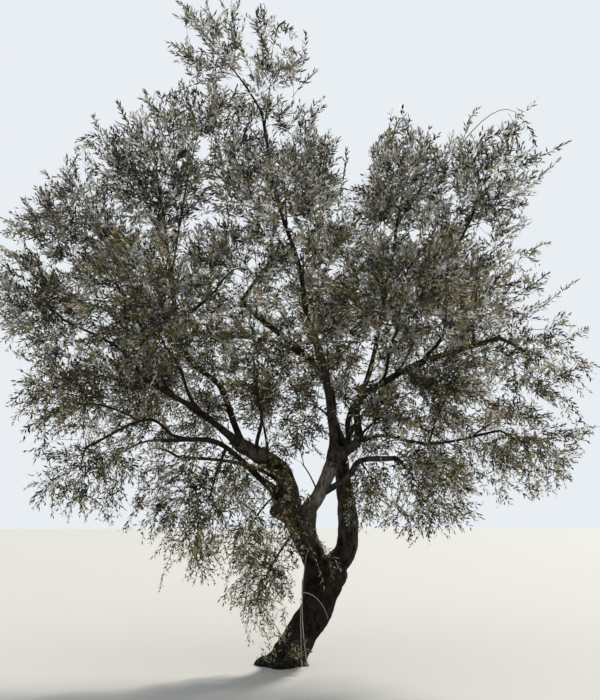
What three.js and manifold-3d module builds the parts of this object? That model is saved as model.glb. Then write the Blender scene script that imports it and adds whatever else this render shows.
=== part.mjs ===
// A garden olive tree: a leaning trunk that forks low, its boughs, and its masses of foliage.
// Millimetres, +Z up. The origin is the middle of the flat cut under the trunk, where the tree meets level
// ground. +X is the side that the trunk leans to, and -Y is the front.
import * as THREE from 'three';
import { mergeVertices } from 'three/addons/utils/BufferGeometryUtils.js';
import Module from 'manifold-3d';

const wasm = await Module();
wasm.setup();

// Fits
const CLEARANCE = 0.3;        // gap between two pieces that meet
const SAME_CORNER = 0.01;     // corners nearer to each other than this are one
const LEAF_ROOM = 14;         // air between a twig or leaf and any limb or other mass's stem
const GROUND_ROOM = 12;       // nothing on the tree but the trunk comes nearer to the ground than this

// Trunk
const BASE_FLARE = 150;       // how far the roots' swelling stands out at the ground
const FLARE_HEIGHT = 130;     // height over which that swelling dies away to about a third
const FORK_SWELL = 36;        // extra radius where the trunk spreads into its stems,
const FORK_FROM = 0.45;       // from this share of its length on
const FORK_FLAT = 0.2;        // share of its depth that the trunk loses there
const CROTCH_ROUND = 0.2;     // share of the radius that is rounded off at the trunk's very top
const TRUNK_SIDES = 18;
const TRUNK_STEPS = 10;
const TRUNK_LOBES = 5;        // buttresses round the foot
const LOBE_DEPTH = 0.12;      // share of the radius that the buttresses rise and fall by at the ground
const LOBE_TURN = 0.9;        // radians that the first buttress is turned from +X
const LOBE_FADE = 0.62;       // share of the buttresses that is left up the trunk
const TRUNK_OVAL = 0.5;       // how oval the trunk is, as a share of its buttresses' height
const LEVEL_PART = 0.3;       // share of the trunk over which its sections turn from level to square

// Boughs
const SWAY = 0.016;           // how far a bough wanders from its smooth line, as a share of its length
const SWAY_TURNS = 1.4;       // how often it does so
const SWAY_RISE = 0.5;        // how far it does so up and down, as a share of how far sideways
const LEAVE_TURN = 0.65;      // how far a side bough turns at its foot from its parent's way to its own
const LEAVE_PULL = 0.3;       // how far along its first half a bough holds the way it left in
const ENTRY = 0.74;           // a bough ends at this share of its mass's reach, on its near side
const CARRIER_ARCH = 0.07;    // rise of a mass's own bough above the straight line, as a share of its length
const CARRIER_TAPER = 0.7;    // tip radius of a mass's own bough, as a share of its foot radius
const BEAD_STEP = 30;         // spacing of the points by which a limb's space is kept free
const BOUGH_STEP = 320;       // length of a bough's steps, of which it has at least
const BOUGH_STEPS = 4;
const BOUGH_SIDES = [{ over: 80, sides: 10 }, { over: 34, sides: 7 }, { over: 0, sides: 5 }];

// Foliage
const SPRAY_BASE = 3;         // twigs in a mass, before its size adds more
const SPRAYS_PER_METRE = 3.7; // further twigs for each metre of a mass's mean half size
const BLADE_BASE = 92;        // length of a blade in a mass of no size
const BLADE_GAIN = 0.39;      // what each millimetre of a mass's mean half size adds to it
const BLADE_WIDTH = 0.37;     // as a share of its length
const BLADE_THICKNESS = 0.03; // as a share of its length
const BLADE_BELLY = 0.44;     // where a blade is widest, as a share of its length
const PAIRS_BACK = [0.09, 0.6]; // how far behind the end blade the pairs of side blades leave, in its lengths
const SIDE_BLADE = 0.84;      // a side blade's length, as a share of the end blade's
const SIDE_ANGLE = 0.92;      // radians between a side blade and its twig
const SIDE_REACH = 0.9;       // share of a twig's outer half that side blades may grow from
const TWIG_RADIUS = 7;        // radius of a twig that carries one spray
const TWIG_POWER = 0.46;      // how fast the radius grows with the number of sprays beyond
const TWIG_SIDES = 3;
const SUNK_RADIUS = 0.42;     // radius of a root within its twig, as a share of the twig's
const ROOT_ROOM = 45;         // how near its root a twig or blade may come to what it grows from
const TWIG_SPLIT = 0.4;       // where a twig bends, as a share of its length
const TWIG_BOW = 0.5;         // how far a twig bows to come out along its spray's own way
const STEM_RADIUS = 20;       // room that other masses leave for a mass's stem
const STEM_STEPS = 4;         // lengths of a mass's stem
const STEM_END = 0.2;         // the stem ends at this share of the mass's reach, on its near side
const STEM_ARCH = 0.08;       // rise of the stem above the straight line, as a share of its length
const HOLLOW = 0.45;          // the inner share of a mass's reach that holds few leaves
const EDGE = 0.98;            // the furthest tips, as a share of a mass's reach
const NEIGHBOUR_ROOM = 0.05;  // share of its reach by which a point has to be nearer its own mass
const PATH_COST = 0.3;        // how much a long way back to the stem counts against a joint,
const TURN_COST = 0.8;        // and how much a turn at its end does
const OUTWARD = 0.9;          // weights of a spray's ways: out of its mass,
const ONWARD = 0.6;           // out of the crown, and the mass's own lift
const JOINTS_TRIED = 6;
const SPACING = 1.35;         // distance between tips, as a share of what an even spread would give
const TRIES = 900;            // points tried for each mass
const STEM_BEADS = [0, 0.2, 0.4, 0.6, 0.8]; // where each length of a stem is kept free of other masses
const TWIG_BEADS = [0.35, 0.7, 1];          // where a twig's inner part is tested for room,
const BOW_BEADS = [0.3, 0.6, 0.9];          // and its outer part
const TIP_BEAD = 0.1;                       // room round a blade's tip, as a share of its half width
const SEED_STEP = 40;         // how far apart in the rule's sequence two masses start

// Where a blade is tested for room: how far along it, how far to its side, and the room's own radius, the
// last two as shares of its half width
const BLADE_BEADS = [
  { along: 0.25, out: 0, size: 0.4 },
  { along: BLADE_BELLY, out: 0, size: 0.8 },
  { along: 0.72, out: 0, size: 0.5 },
  { along: BLADE_BELLY, out: 0.7, size: 0.3 },
  { along: BLADE_BELLY, out: -0.7, size: 0.3 },
];

// The heart of the crown, from which the foliage grows outwards
const CROWN_HEART = new THREE.Vector3(200, 0, 3100);

// Limbs: the limb and the share of its length that each starts from, the point that it leaves towards, the
// point it passes half-way, its tip, and its radius at both ends
const LIMBS = [
  { name: 'left_stem', on: 'trunk', at: 0.84, girth: [139, 105],
    leave: [310, 0, 1040], by: [150, -50, 1440], tip: [10, -120, 1900] },
  { name: 'right_stem', on: 'trunk', at: 0.88, girth: [131, 74],
    leave: [630, 70, 1100], by: [680, 130, 1560], tip: [620, 280, 2290] },
  { name: 'middle_stem', on: 'left_stem', at: 0.36, girth: [85, 70],
    leave: [260, -100, 1530], by: [340, -140, 1690], tip: [520, -180, 2090] },
  { name: 'left_bough', on: 'left_stem', at: 0.97, girth: [98, 80],
    leave: [-30, -160, 2020], by: [-220, -220, 2130], tip: [-490, -320, 2280] },
  { name: 'left_reach', on: 'left_bough', at: 0.96, girth: [43, 26],
    by: [-850, -500, 2580], tip: [-1230, -750, 2780] },
  { name: 'left_rise', on: 'left_bough', at: 0.9, girth: [37, 20],
    leave: [-680, -150, 2850], by: [-1050, -100, 3210], tip: [-1350, 100, 4450] },
  { name: 'left_under', on: 'left_stem', at: 0.58, girth: [42, 20],
    leave: [-190, -200, 1860], by: [-670, -500, 2270], tip: [-1230, -780, 2270] },
  { name: 'left_far', on: 'left_under', at: 0.85, girth: [17, 12],
    by: [-1330, -900, 2470], tip: [-1940, -950, 2190] },
  { name: 'leader_foot', on: 'middle_stem', at: 1, girth: [50, 30],
    leave: [510, -160, 2330], by: [510, -100, 2790], tip: [300, 0, 3630] },
  { name: 'leader', on: 'leader_foot', at: 1, girth: [30, 16],
    by: [-20, 80, 4870], tip: [-290, 100, 6250] },
  { name: 'right_fork', on: 'middle_stem', at: 0.96, girth: [52, 42],
    by: [650, -220, 2190], tip: [790, -270, 2310] },
  { name: 'right_bough', on: 'right_fork', at: 1, girth: [41, 25],
    leave: [830, -300, 2760], by: [1250, -450, 3030], tip: [2250, -600, 3360] },
  { name: 'right_level', on: 'right_fork', at: 0.98, girth: [20, 13],
    by: [1540, -350, 2280], tip: [2280, -350, 2410] },
  { name: 'right_low_bough', on: 'middle_stem', at: 0.58, girth: [36, 28],
    leave: [650, -200, 1920], by: [810, -250, 2090], tip: [1170, -400, 2120] },
  { name: 'centre_rise', on: 'right_fork', at: 0.55, girth: [32, 20],
    leave: [710, -150, 2490], by: [900, -50, 3050], tip: [1220, 0, 4370] },
  { name: 'rear_bough', on: 'right_stem', at: 1, girth: [58, 28],
    by: [430, 500, 3100], tip: [-550, 800, 4100] },
];

const TRUNK = {
  name: 'trunk',
  leave: [140, 0, 230],
  by: [320, 20, 540],
  tip: [470, 40, 1060],
  girth: [128, 207],
};

// Masses of foliage: the limb that carries each and where, the radius of a bough of its own at its foot or 0
// where it sits on the limb itself, its middle, its half sizes, and how far its shoots lift (or hang)
const MASSES = [
  { name: 'top_left', on: 'leader', at: 1, lift: 0.6,
    centre: [-890, 0, 7040], half: [500, 450, 660] },
  { name: 'top_right', on: 'leader', at: 0.92, lift: 0.6,
    centre: [-170, 150, 6800], half: [440, 450, 750] },
  { name: 'leader_right', on: 'leader', at: 0.55, lift: 0.5,
    centre: [310, 100, 5490], half: [450, 600, 640] },
  { name: 'leader_left', on: 'leader', at: 0.66, lift: 0.5,
    centre: [-590, 150, 5660], half: [570, 650, 660] },
  { name: 'left_shoulder', on: 'left_rise', at: 1, lift: 0.42,
    centre: [-1500, -100, 5460], half: [760, 850, 850] },
  { name: 'left_upper', on: 'left_reach', at: 0.85, bough: 20, lift: 0.3,
    centre: [-2260, -300, 4670], half: [710, 900, 690] },
  { name: 'left_tip', on: 'left_reach', at: 1, bough: 18, lift: 0,
    centre: [-2710, -350, 3830], half: [500, 800, 700] },
  { name: 'left_front', on: 'left_reach', at: 0.55, bough: 20, lift: 0,
    centre: [-1390, -1300, 3600], half: [780, 800, 720] },
  { name: 'left_mid', on: 'left_reach', at: 0.8, lift: 0,
    centre: [-1700, -200, 3000], half: [630, 750, 520] },
  { name: 'left_lower', on: 'left_far', at: 0.5, lift: -0.3,
    centre: [-2200, -950, 2660], half: [540, 600, 460] },
  { name: 'left_hang', on: 'left_far', at: 1, lift: -0.8,
    centre: [-2020, -900, 1920], half: [530, 500, 490] },
  { name: 'low_left', on: 'left_under', at: 0.62, lift: -0.8,
    centre: [-790, -650, 1570], half: [700, 600, 720] },
  { name: 'trunk_hang', on: 'left_stem', at: 0.52, lift: -0.9,
    centre: [-220, -350, 860], half: [350, 320, 510] },
  { name: 'centre_front', on: 'left_bough', at: 0.55, bough: 22, lift: 0,
    centre: [-290, -1350, 3140], half: [710, 800, 590] },
  { name: 'centre', on: 'left_rise', at: 0.62, bough: 20, lift: 0.3,
    centre: [-540, 300, 4450], half: [710, 800, 640] },
  { name: 'notch', on: 'leader', at: 0.08, lift: 0.2,
    centre: [560, -100, 4180], half: [560, 800, 740] },
  { name: 'right_shoulder', on: 'centre_rise', at: 1, lift: 0.6,
    centre: [1390, 0, 5380], half: [720, 850, 840] },
  { name: 'right_top', on: 'right_bough', at: 0.6, bough: 20, lift: 0.5,
    centre: [2290, -200, 5350], half: [640, 700, 730] },
  { name: 'right_upper', on: 'right_bough', at: 0.85, bough: 18, lift: 0.3,
    centre: [2170, -200, 4200], half: [650, 850, 600] },
  { name: 'right_tip', on: 'right_bough', at: 1, lift: -0.2,
    centre: [2750, -500, 3060], half: [510, 750, 650] },
  { name: 'right_front', on: 'right_bough', at: 0.35, bough: 20, lift: 0.1,
    centre: [1230, -1350, 3680], half: [780, 750, 680] },
  { name: 'right_mid', on: 'right_level', at: 0.5, lift: -0.2,
    centre: [1680, -750, 2770], half: [590, 600, 470] },
  { name: 'right_low', on: 'right_level', at: 1, lift: -0.7,
    centre: [2660, -300, 2140], half: [570, 600, 480] },
  { name: 'right_hang', on: 'right_low_bough', at: 1, lift: -0.8,
    centre: [1470, -400, 1750], half: [660, 600, 540] },
  { name: 'back_centre', on: 'right_stem', at: 0.97, bough: 30, lift: 0.2,
    centre: [300, 1700, 3930], half: [1090, 850, 980] },
  { name: 'back_left', on: 'rear_bough', at: 0.5, bough: 28, lift: 0.2,
    centre: [-1360, 1250, 3970], half: [1070, 850, 1070] },
  { name: 'back_right', on: 'right_stem', at: 0.85, bough: 30, lift: 0.2,
    centre: [1840, 1350, 3990], half: [1110, 900, 1110] },
  { name: 'back_top', on: 'rear_bough', at: 1, lift: 0.4,
    centre: [300, 1050, 5170], half: [970, 750, 770] },
  { name: 'back_low_left', on: 'left_stem', at: 0.9, bough: 24, lift: -0.5,
    centre: [-1760, 950, 2350], half: [870, 700, 580] },
  { name: 'back_low_right', on: 'back_right_bough', at: 0.4, lift: -0.5,
    centre: [2150, 900, 2290], half: [740, 700, 550] },
  { name: 'foot_shoots', on: 'trunk', at: 0.16, lift: 0.7,
    centre: [20, -500, 230], half: [320, 250, 220] },
];

const UP = new THREE.Vector3(0, 0, 1);
const vector = (xyz) => new THREE.Vector3(...xyz);

/** A number from 0 to 1 for each index, which fills that stretch evenly: the index's digits, mirrored. */
function spread(index, base) {
  let value = 0;
  for (let left = index, step = 1 / base; left > 0; left = Math.floor(left / base), step /= base) {
    value += (left % base) * step;
  }
  return value;
}

/** The line that a limb grows along: a smooth bend through its points, with a slight wander. */
class LimbLine extends THREE.Curve {
  constructor(points, sway, seed) {
    super();
    this.bend = new THREE.CatmullRomCurve3(points, false, 'centripetal');
    this.sway = sway * points[0].distanceTo(points.at(-1));
    this.seed = seed;
  }

  getPoint(t, target = new THREE.Vector3()) {
    this.bend.getPoint(t, target);
    const turn = 2 * Math.PI * (SWAY_TURNS * t + spread(this.seed, 2));
    const wander = new THREE.Vector3(Math.cos(turn), Math.sin(turn), SWAY_RISE * Math.sin(turn));
    return target.addScaledVector(wander, this.sway * Math.sin(Math.PI * t));
  }
}

/** The radius of a bough at a share of its length. */
function boughRadius(limb, share) {
  return THREE.MathUtils.lerp(limb.girth[0], limb.girth[1], share);
}

/** The radius of the trunk at a share of its length and an angle round it. */
function trunkRadius(share, angle) {
  const foot = Math.exp((-share * TRUNK.length) / FLARE_HEIGHT);
  const fork = THREE.MathUtils.smoothstep(share, FORK_FROM, 1);
  const flat = 1 - FORK_FLAT * fork * Math.sin(angle) ** 2;
  const top = 1 - CROTCH_ROUND * THREE.MathUtils.smoothstep(share, 1 - 1 / TRUNK_STEPS, 1);
  const round = (boughRadius(TRUNK, share) + BASE_FLARE * foot + FORK_SWELL * fork) * flat * top;
  const lobe = Math.cos(TRUNK_LOBES * (angle - LOBE_TURN)) + TRUNK_OVAL * Math.cos(2 * angle - LOBE_TURN);
  return round * (1 + LOBE_DEPTH * lobe * (foot * (1 - LOBE_FADE) + LOBE_FADE * (1 - share)));
}

/** A closed skin through rings of corners; the first and the last ring may each be a single point. */
function skinOf(rings) {
  const faces = [];
  const first = rings.map((_, step) => rings.slice(0, step).flat().length);
  const corner = (step, k) => first[step] + (k % rings[step].length);
  const sides = Math.max(...rings.map((ring) => ring.length));
  for (let step = 0; step < rings.length - 1; step++) {
    for (let k = 0; k < sides; k++) {
      const [low, lowNext] = [corner(step, k), corner(step, k + 1)];
      const [high, highNext] = [corner(step + 1, k), corner(step + 1, k + 1)];
      faces.push(...(low === lowNext ? [] : [low, lowNext, highNext]));
      faces.push(...(high === highNext ? [] : [low, highNext, high]));
    }
  }
  const last = rings.length - 1;
  for (let k = 1; k < rings[0].length - 1; k++) {
    faces.push(corner(0, 0), corner(0, k + 1), corner(0, k));
  }
  for (let k = 1; k < rings[last].length - 1; k++) {
    faces.push(corner(last, 0), corner(last, k), corner(last, k + 1));
  }
  return new THREE.BufferGeometry().setFromPoints(rings.flat()).setIndex(faces);
}

/** Rings square to a line, with a radius for each share and angle, that turn level towards its foot. */
function ringsAlong(line, sides, steps, radius, grow = 0, levelPart = 0) {
  const frames = line.computeFrenetFrames(steps, false);
  return Array.from({ length: steps + 1 }, (_, step) => {
    const share = step / steps;
    const end = step === 0 ? -grow : step === steps ? grow : 0;
    const middle = line.getPointAt(share).addScaledVector(frames.tangents[step], end);
    return Array.from({ length: sides }, (_corner, k) => {
      const turn = (2 * Math.PI * k) / sides;
      const across = frames.normals[step].clone().multiplyScalar(Math.cos(turn));
      across.addScaledVector(frames.binormals[step], Math.sin(turn));
      if (share < levelPart) {
        across.lerpVectors(across.clone().setZ(0), across, share / levelPart).normalize();
      }
      const size = radius(share, Math.atan2(across.y, across.x)) + grow;
      return across.multiplyScalar(size).add(middle);
    });
  });
}

/** Turns a closed three.js geometry into a solid that can be joined and cut. */
function solidOf(geometry) {
  const bare = geometry.index ? geometry.toNonIndexed() : geometry.clone();
  bare.deleteAttribute('normal');
  bare.deleteAttribute('uv');
  const whole = mergeVertices(bare, SAME_CORNER);
  return new wasm.Manifold(new wasm.Mesh({
    numProp: 3,
    vertProperties: new Float32Array(whole.attributes.position.array),
    triVerts: new Uint32Array(whole.index.array),
  }));
}

/** The largest body of a solid, without the scraps and sealed hollows that joining leaves. */
function largestBody(solid) {
  const bodies = solid.decompose();
  return bodies.reduce((best, body) => (body.volume() > best.volume() ? body : best));
}

/** A named mesh for a solid, with its own material, placed at an anchor point. */
function meshOf(name, solid, anchor, finish) {
  const { numProp, vertProperties, triVerts } = solid.getMesh();
  const points = new Float32Array((vertProperties.length / numProp) * 3);
  for (let i = 0; i < points.length; i++) {
    const row = Math.floor(i / 3);
    points[i] = vertProperties[row * numProp + (i % 3)] - anchor.getComponent(i % 3);
  }
  const geometry = new THREE.BufferGeometry();
  geometry.setAttribute('position', new THREE.BufferAttribute(points, 3));
  geometry.setIndex(new THREE.BufferAttribute(new Uint32Array(triVerts), 1));
  geometry.computeVertexNormals();
  const mesh = new THREE.Mesh(geometry, new THREE.MeshStandardMaterial(finish));
  mesh.name = name;
  mesh.position.copy(anchor);
  return mesh;
}

/** The share of a mass's reach that a point lies at: 0 in its middle, 1 on its outline. */
function reachOf(mass, point) {
  return point.clone().sub(mass.middle).divide(mass.extent).length();
}

/** The points that a limb runs through, from its foot on its parent, which it leaves at a slant. */
function limbPoints(limb, parent) {
  const foot = parent.line.getPointAt(limb.at);
  const [by, tip] = [vector(limb.by), vector(limb.tip)];
  const run = foot.distanceTo(by);
  const slant = parent.line.getTangentAt(limb.at).lerp(by.clone().sub(foot).divideScalar(run), LEAVE_TURN);
  const leave = foot.clone().addScaledVector(slant.normalize(), run * LEAVE_PULL);
  return [foot, limb.leave ? vector(limb.leave) : leave, by, tip];
}

/** Works out a limb's line, length and beads, the points that keep its space free. */
function layLimb(limb, points, sway, seed) {
  limb.line = new LimbLine(points, sway, seed);
  limb.length = limb.line.getLength();
  const count = Math.ceil(limb.length / BEAD_STEP);
  limb.beads = Array.from({ length: count + 1 }, (_, i) => ({
    at: limb.line.getPointAt(i / count),
    radius: limb === TRUNK ? trunkRadius(i / count, LOBE_TURN) : boughRadius(limb, i / count),
  }));
  return limb;
}

/** The row for a bough that leads from a limb to the near side of a mass. */
function carrierRow(mass, parent) {
  const foot = parent.line.getPointAt(mass.at);
  const tip = mass.middle.clone().lerp(foot, ENTRY / reachOf(mass, foot));
  const by = foot.clone().lerp(tip, 0.5).addScaledVector(UP, CARRIER_ARCH * foot.distanceTo(tip));
  return {
    name: `${mass.name}_bough`,
    on: mass.on,
    at: mass.at,
    by: by.toArray(),
    tip: tip.toArray(),
    girth: [mass.bough, mass.bough * CARRIER_TAPER],
  };
}

/** Lays the trunk, the boughs and the masses' own boughs, each from its parent's line. */
function layTree() {
  const limbs = new Map();
  layLimb(TRUNK, [[0, 0, 0], TRUNK.leave, TRUNK.by, TRUNK.tip].map(vector), 0, 0);
  limbs.set('trunk', TRUNK);
  for (const mass of MASSES) {
    mass.middle = vector(mass.centre);
    mass.extent = vector(mass.half);
  }
  const add = (row) => {
    limbs.set(row.name, layLimb(row, limbPoints(row, limbs.get(row.on)), SWAY, limbs.size));
  };
  LIMBS.forEach(add);
  for (const mass of MASSES.filter((row) => row.bough)) {
    add(carrierRow(mass, limbs.get(mass.on)));
  }
  return limbs;
}

/** A limb's solid, thicker by grow all over. */
function limbSolid(limb, grow = 0) {
  if (limb === TRUNK) {
    return solidOf(skinOf(ringsAlong(limb.line, TRUNK_SIDES, TRUNK_STEPS, trunkRadius, grow, LEVEL_PART)));
  }
  const { sides } = BOUGH_SIDES.find((row) => limb.girth[0] > row.over);
  const steps = Math.max(BOUGH_STEPS, Math.round(limb.length / BOUGH_STEP));
  return solidOf(skinOf(ringsAlong(limb.line, sides, steps, (share) => boughRadius(limb, share), grow)));
}

/** The nodes of a mass's stem, from the limb that carries it to near its middle. */
function stemNodes(mass, limbs) {
  const carrier = limbs.get(mass.bough ? `${mass.name}_bough` : mass.on);
  const foot = carrier.line.getPointAt(mass.bough ? 1 : mass.at);
  const end = mass.middle.clone().lerp(foot, Math.min(1, STEM_END / reachOf(mass, foot)));
  const length = foot.distanceTo(end);
  const nodes = [];
  for (let i = 0; i <= STEM_STEPS; i++) {
    const share = i / STEM_STEPS;
    const rise = STEM_ARCH * length * Math.sin(Math.PI * share);
    const at = foot.clone().lerp(end, share).addScaledVector(UP, rise);
    nodes.push({ at, back: i - 1, run: share * length, sprays: 0 });
  }
  return nodes;
}

/** The beads that keep a mass's stem free of the other masses. */
function stemBeads({ stem }) {
  const between = (from, to) => STEM_BEADS.map((part) => from.at.clone().lerp(to.at, part));
  const spots = stem.slice(1).flatMap((node, i) => between(stem[i], node));
  return spots.map((at) => ({ at, radius: STEM_RADIUS }));
}

/** Whether a point is in a mass's own space: nearer to it than to any other, and clear of limbs and stems. */
function inSpace(mass, point, room) {
  const own = reachOf(mass, point);
  if (own > 1 || point.z < GROUND_ROOM + room) {
    return false;
  }
  const nearer = (other) => other !== mass && reachOf(other, point) < own + NEIGHBOUR_ROOM;
  const touches = (bead) => bead.at.distanceTo(point) < bead.radius + room + LEAF_ROOM;
  return !MASSES.some(nearer) && !mass.obstacles.some(touches);
}

/** The points that stand for a twig through three spots, as beads of its radius. */
function twigBeads(start, bow, root) {
  const spots = TWIG_BEADS.map((share) => start.clone().lerp(bow, share));
  spots.push(...BOW_BEADS.map((share) => bow.clone().lerp(root, share)));
  return spots.map((at) => ({ at, radius: TWIG_RADIUS }));
}

/** The points that stand for a blade, as beads that cover its middle, its edges and its tip. */
function bladeBeads({ way, side, length, root, tip }) {
  const half = 0.5 * BLADE_WIDTH * length;
  const beads = BLADE_BEADS.map(({ along, out, size }) => ({
    at: root.clone().addScaledVector(way, along * length).addScaledVector(side, out * half),
    radius: size * half,
  }));
  return [...beads, { at: tip, radius: TIP_BEAD * half }];
}

/** Whether beads lie in a mass's own space and clear of what has grown in it, save near their root. */
function fits(mass, beads, root) {
  const near = (bead) => bead.at.distanceTo(root) < bead.radius + ROOT_ROOM;
  const grown = mass.grown.filter((bead) => !near(bead));
  const touches = (bead) => grown.some((other) => other.at.distanceTo(bead.at) < other.radius + bead.radius);
  return beads.every((bead) => inSpace(mass, bead.at, bead.radius) && (near(bead) || !touches(bead)));
}

/** A blade that points a way from its root, with its flat side turned by an angle. */
function bladeAt(root, way, length, turn) {
  const side = new THREE.Vector3().crossVectors(way, UP).normalize().applyAxisAngle(way, turn);
  return { root, way, length, side, tip: root.clone().addScaledVector(way, length) };
}

/** The way out of a mass for a number, with 0 the way out of the crown, and its tip's share of the reach. */
function wayOut(mass, number) {
  if (number === 0) {
    return { out: mass.middle.clone().sub(CROWN_HEART).normalize(), radius: EDGE };
  }
  const height = 2 * spread(number, 2) - 1;
  const angle = 2 * Math.PI * spread(number, 3);
  const flat = Math.sqrt(1 - height * height);
  const shell = HOLLOW ** 3;
  return {
    out: new THREE.Vector3(flat * Math.cos(angle), flat * Math.sin(angle), height),
    radius: EDGE * Math.cbrt(shell + (1 - shell) * spread(number, 5)),
  };
}

/** The end blade of a mass's spray with this number, or null where it would leave the mass's space. */
function endBlade(mass, number) {
  const { out, radius } = wayOut(mass, number);
  const tip = out.clone().multiplyScalar(radius).multiply(mass.extent).add(mass.middle);
  const way = tip.clone().sub(CROWN_HEART).normalize().multiplyScalar(ONWARD);
  way.addScaledVector(out, OUTWARD).addScaledVector(UP, mass.lift).normalize();
  const root = tip.clone().addScaledVector(way, -mass.blade);
  const blade = bladeAt(root, way, mass.blade, Math.PI * spread(number, 7));
  return inSpace(mass, root, TWIG_RADIUS) && fits(mass, bladeBeads(blade), root) ? blade : null;
}

/** Adds the twig that leads from the best node of the growth so far to a blade's root, if one can. */
function joinTwig(mass, nodes, blade) {
  const cost = (node) => {
    const reach = blade.root.clone().sub(node.at);
    const turn = 1 - reach.dot(blade.way) / reach.length();
    return reach.length() * (1 + TURN_COST * turn) + PATH_COST * node.run;
  };
  const order = nodes.map((_, i) => i).sort((a, b) => cost(nodes[a]) - cost(nodes[b]));
  for (const from of order.slice(0, JOINTS_TRIED)) {
    const start = nodes[from].at;
    const length = start.distanceTo(blade.root);
    const straight = start.clone().lerp(blade.root, TWIG_SPLIT);
    const back = (TWIG_SPLIT - 1) * length;
    const bow = blade.root.clone().addScaledVector(blade.way, back).lerp(straight, 1 - TWIG_BOW);
    const beads = twigBeads(start, bow, blade.root);
    if (fits(mass, beads, start) && fits(mass, bladeBeads(blade), blade.root)) {
      mass.grown.push(...beads, ...bladeBeads(blade));
      const run = nodes[from].run;
      nodes.push({ at: bow, back: from, run: run + TWIG_SPLIT * length, sprays: 0 });
      nodes.push({ at: blade.root, back: nodes.length - 1, run: run + length, sprays: 0 });
      return { row: [from, nodes.length - 2, nodes.length - 1], end: blade, bow };
    }
  }
  return null;
}

/** Grows a mass by its seeded rule: its twigs as rows of nodes, and its blades. */
function growMass(mass, seed) {
  const mean = (mass.half[0] + mass.half[1] + mass.half[2]) / 3;
  const wanted = Math.round(SPRAY_BASE + (SPRAYS_PER_METRE * mean) / 1000);
  const apart = (SPACING * mean) / Math.cbrt(wanted);
  mass.blade = BLADE_BASE + BLADE_GAIN * mean;
  mass.grown = [];
  const ends = [];
  for (let tried = 0; ends.length < wanted && tried < TRIES; tried++) {
    const blade = endBlade(mass, tried === 0 ? 0 : tried + SEED_STEP * seed);
    if (blade && ends.every((other) => other.tip.distanceTo(blade.tip) > apart)) {
      ends.push(blade);
    }
  }
  const foot = mass.stem[0].at;
  ends.sort((a, b) => a.root.distanceTo(foot) - b.root.distanceTo(foot));
  const nodes = mass.stem;
  const twigs = [{ row: nodes.map((_, i) => i), end: null }];
  const blades = [];
  for (const end of ends) {
    const twig = joinTwig(mass, nodes, end);
    if (twig) {
      twigs.push(twig);
      blades.push(...sideBlades(mass, twig));
      for (let i = twig.row[2]; i >= 0; i = nodes[i].back) {
        nodes[i].sprays += 1;
      }
    }
  }
  return { nodes, twigs, blades };
}

/** The side blades of a spray that fit, in pairs with their roots sunk in the twig behind its end blade. */
function sideBlades(mass, { end, bow }) {
  const normal = new THREE.Vector3().crossVectors(end.way, end.side);
  const reach = end.root.distanceTo(bow);
  const found = [];
  for (const back of PAIRS_BACK.filter((part) => part * end.length < SIDE_REACH * reach)) {
    const root = end.root.clone().lerp(bow, (back * end.length) / reach);
    for (const angle of [SIDE_ANGLE, -SIDE_ANGLE]) {
      const blade = bladeAt(root, end.way.clone().applyAxisAngle(normal, angle), SIDE_BLADE * end.length, 0);
      blade.side.copy(end.side).applyAxisAngle(normal, angle);
      if (fits(mass, bladeBeads(blade), root)) {
        mass.grown.push(...bladeBeads(blade));
        found.push(blade);
      }
    }
  }
  return found;
}

/** The radius of a twig that carries this many sprays. */
function twigRadius(sprays) {
  return TWIG_RADIUS * Math.max(sprays, 1) ** TWIG_POWER;
}

/** A three-sided ring round a point, square to a way, with its first corner above its flat side. */
function twigRing(middle, way, side, radius) {
  const ridge = new THREE.Vector3().crossVectors(way, side);
  return Array.from({ length: TWIG_SIDES }, (_, k) => {
    const across = ridge.clone().applyAxisAngle(way, (2 * Math.PI * k) / TWIG_SIDES);
    return across.multiplyScalar(radius).add(middle);
  });
}

/** The two rings that make a blade: its widest part, ridged above and flat below, and its tip. */
function bladeRings({ root, way, length, side }) {
  const belly = root.clone().addScaledVector(way, BLADE_BELLY * length);
  const ridge = new THREE.Vector3().crossVectors(way, side);
  const half = 0.5 * BLADE_WIDTH * length;
  const edge = (out, up) => belly.clone().addScaledVector(side, out * half)
    .addScaledVector(ridge, up * BLADE_THICKNESS * length);
  return [[edge(0, 1), edge(-1, 0), edge(1, 0)], [root.clone().addScaledVector(way, length)]];
}

/** A tapering three-sided twig through a row of nodes, which widens into its end blade. */
function twigSolid(nodes, { row, end }) {
  const spots = row.map((i) => nodes[i].at);
  const sunk = SUNK_RADIUS * twigRadius(nodes[row[0]].sprays);
  const rings = row.map((i, step) => {
    const before = spots[Math.max(step - 1, 0)];
    const way = spots[Math.min(step + 1, row.length - 1)].clone().sub(before).normalize();
    const side = end ? end.side : bladeAt(spots[0], way, 1, 0).side;
    const square = side.clone().addScaledVector(way, -side.dot(way)).normalize();
    const radius = twigRadius(nodes[row[Math.max(step, 1)]].sprays);
    return twigRing(spots[step], way, square, end && step === 0 ? Math.min(sunk, radius) : radius);
  });
  return solidOf(skinOf(end ? [...rings, ...bladeRings(end)] : rings));
}

/** A side blade's solid, from its root within the twig to its tip. */
function bladeSolid(blade) {
  return solidOf(skinOf([[blade.root], ...bladeRings(blade)]));
}

/** A mass's one solid: its stem, twigs and blades fused, cut clear of the limb that carries it. */
function massSolid({ nodes, twigs, blades }, carrier) {
  const pieces = [...twigs.map((twig) => twigSolid(nodes, twig)), ...blades.map(bladeSolid)];
  const fused = pieces.reduce((whole, piece) => whole.add(piece));
  return largestBody(fused.subtract(limbSolid(carrier, CLEARANCE)));
}

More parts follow.
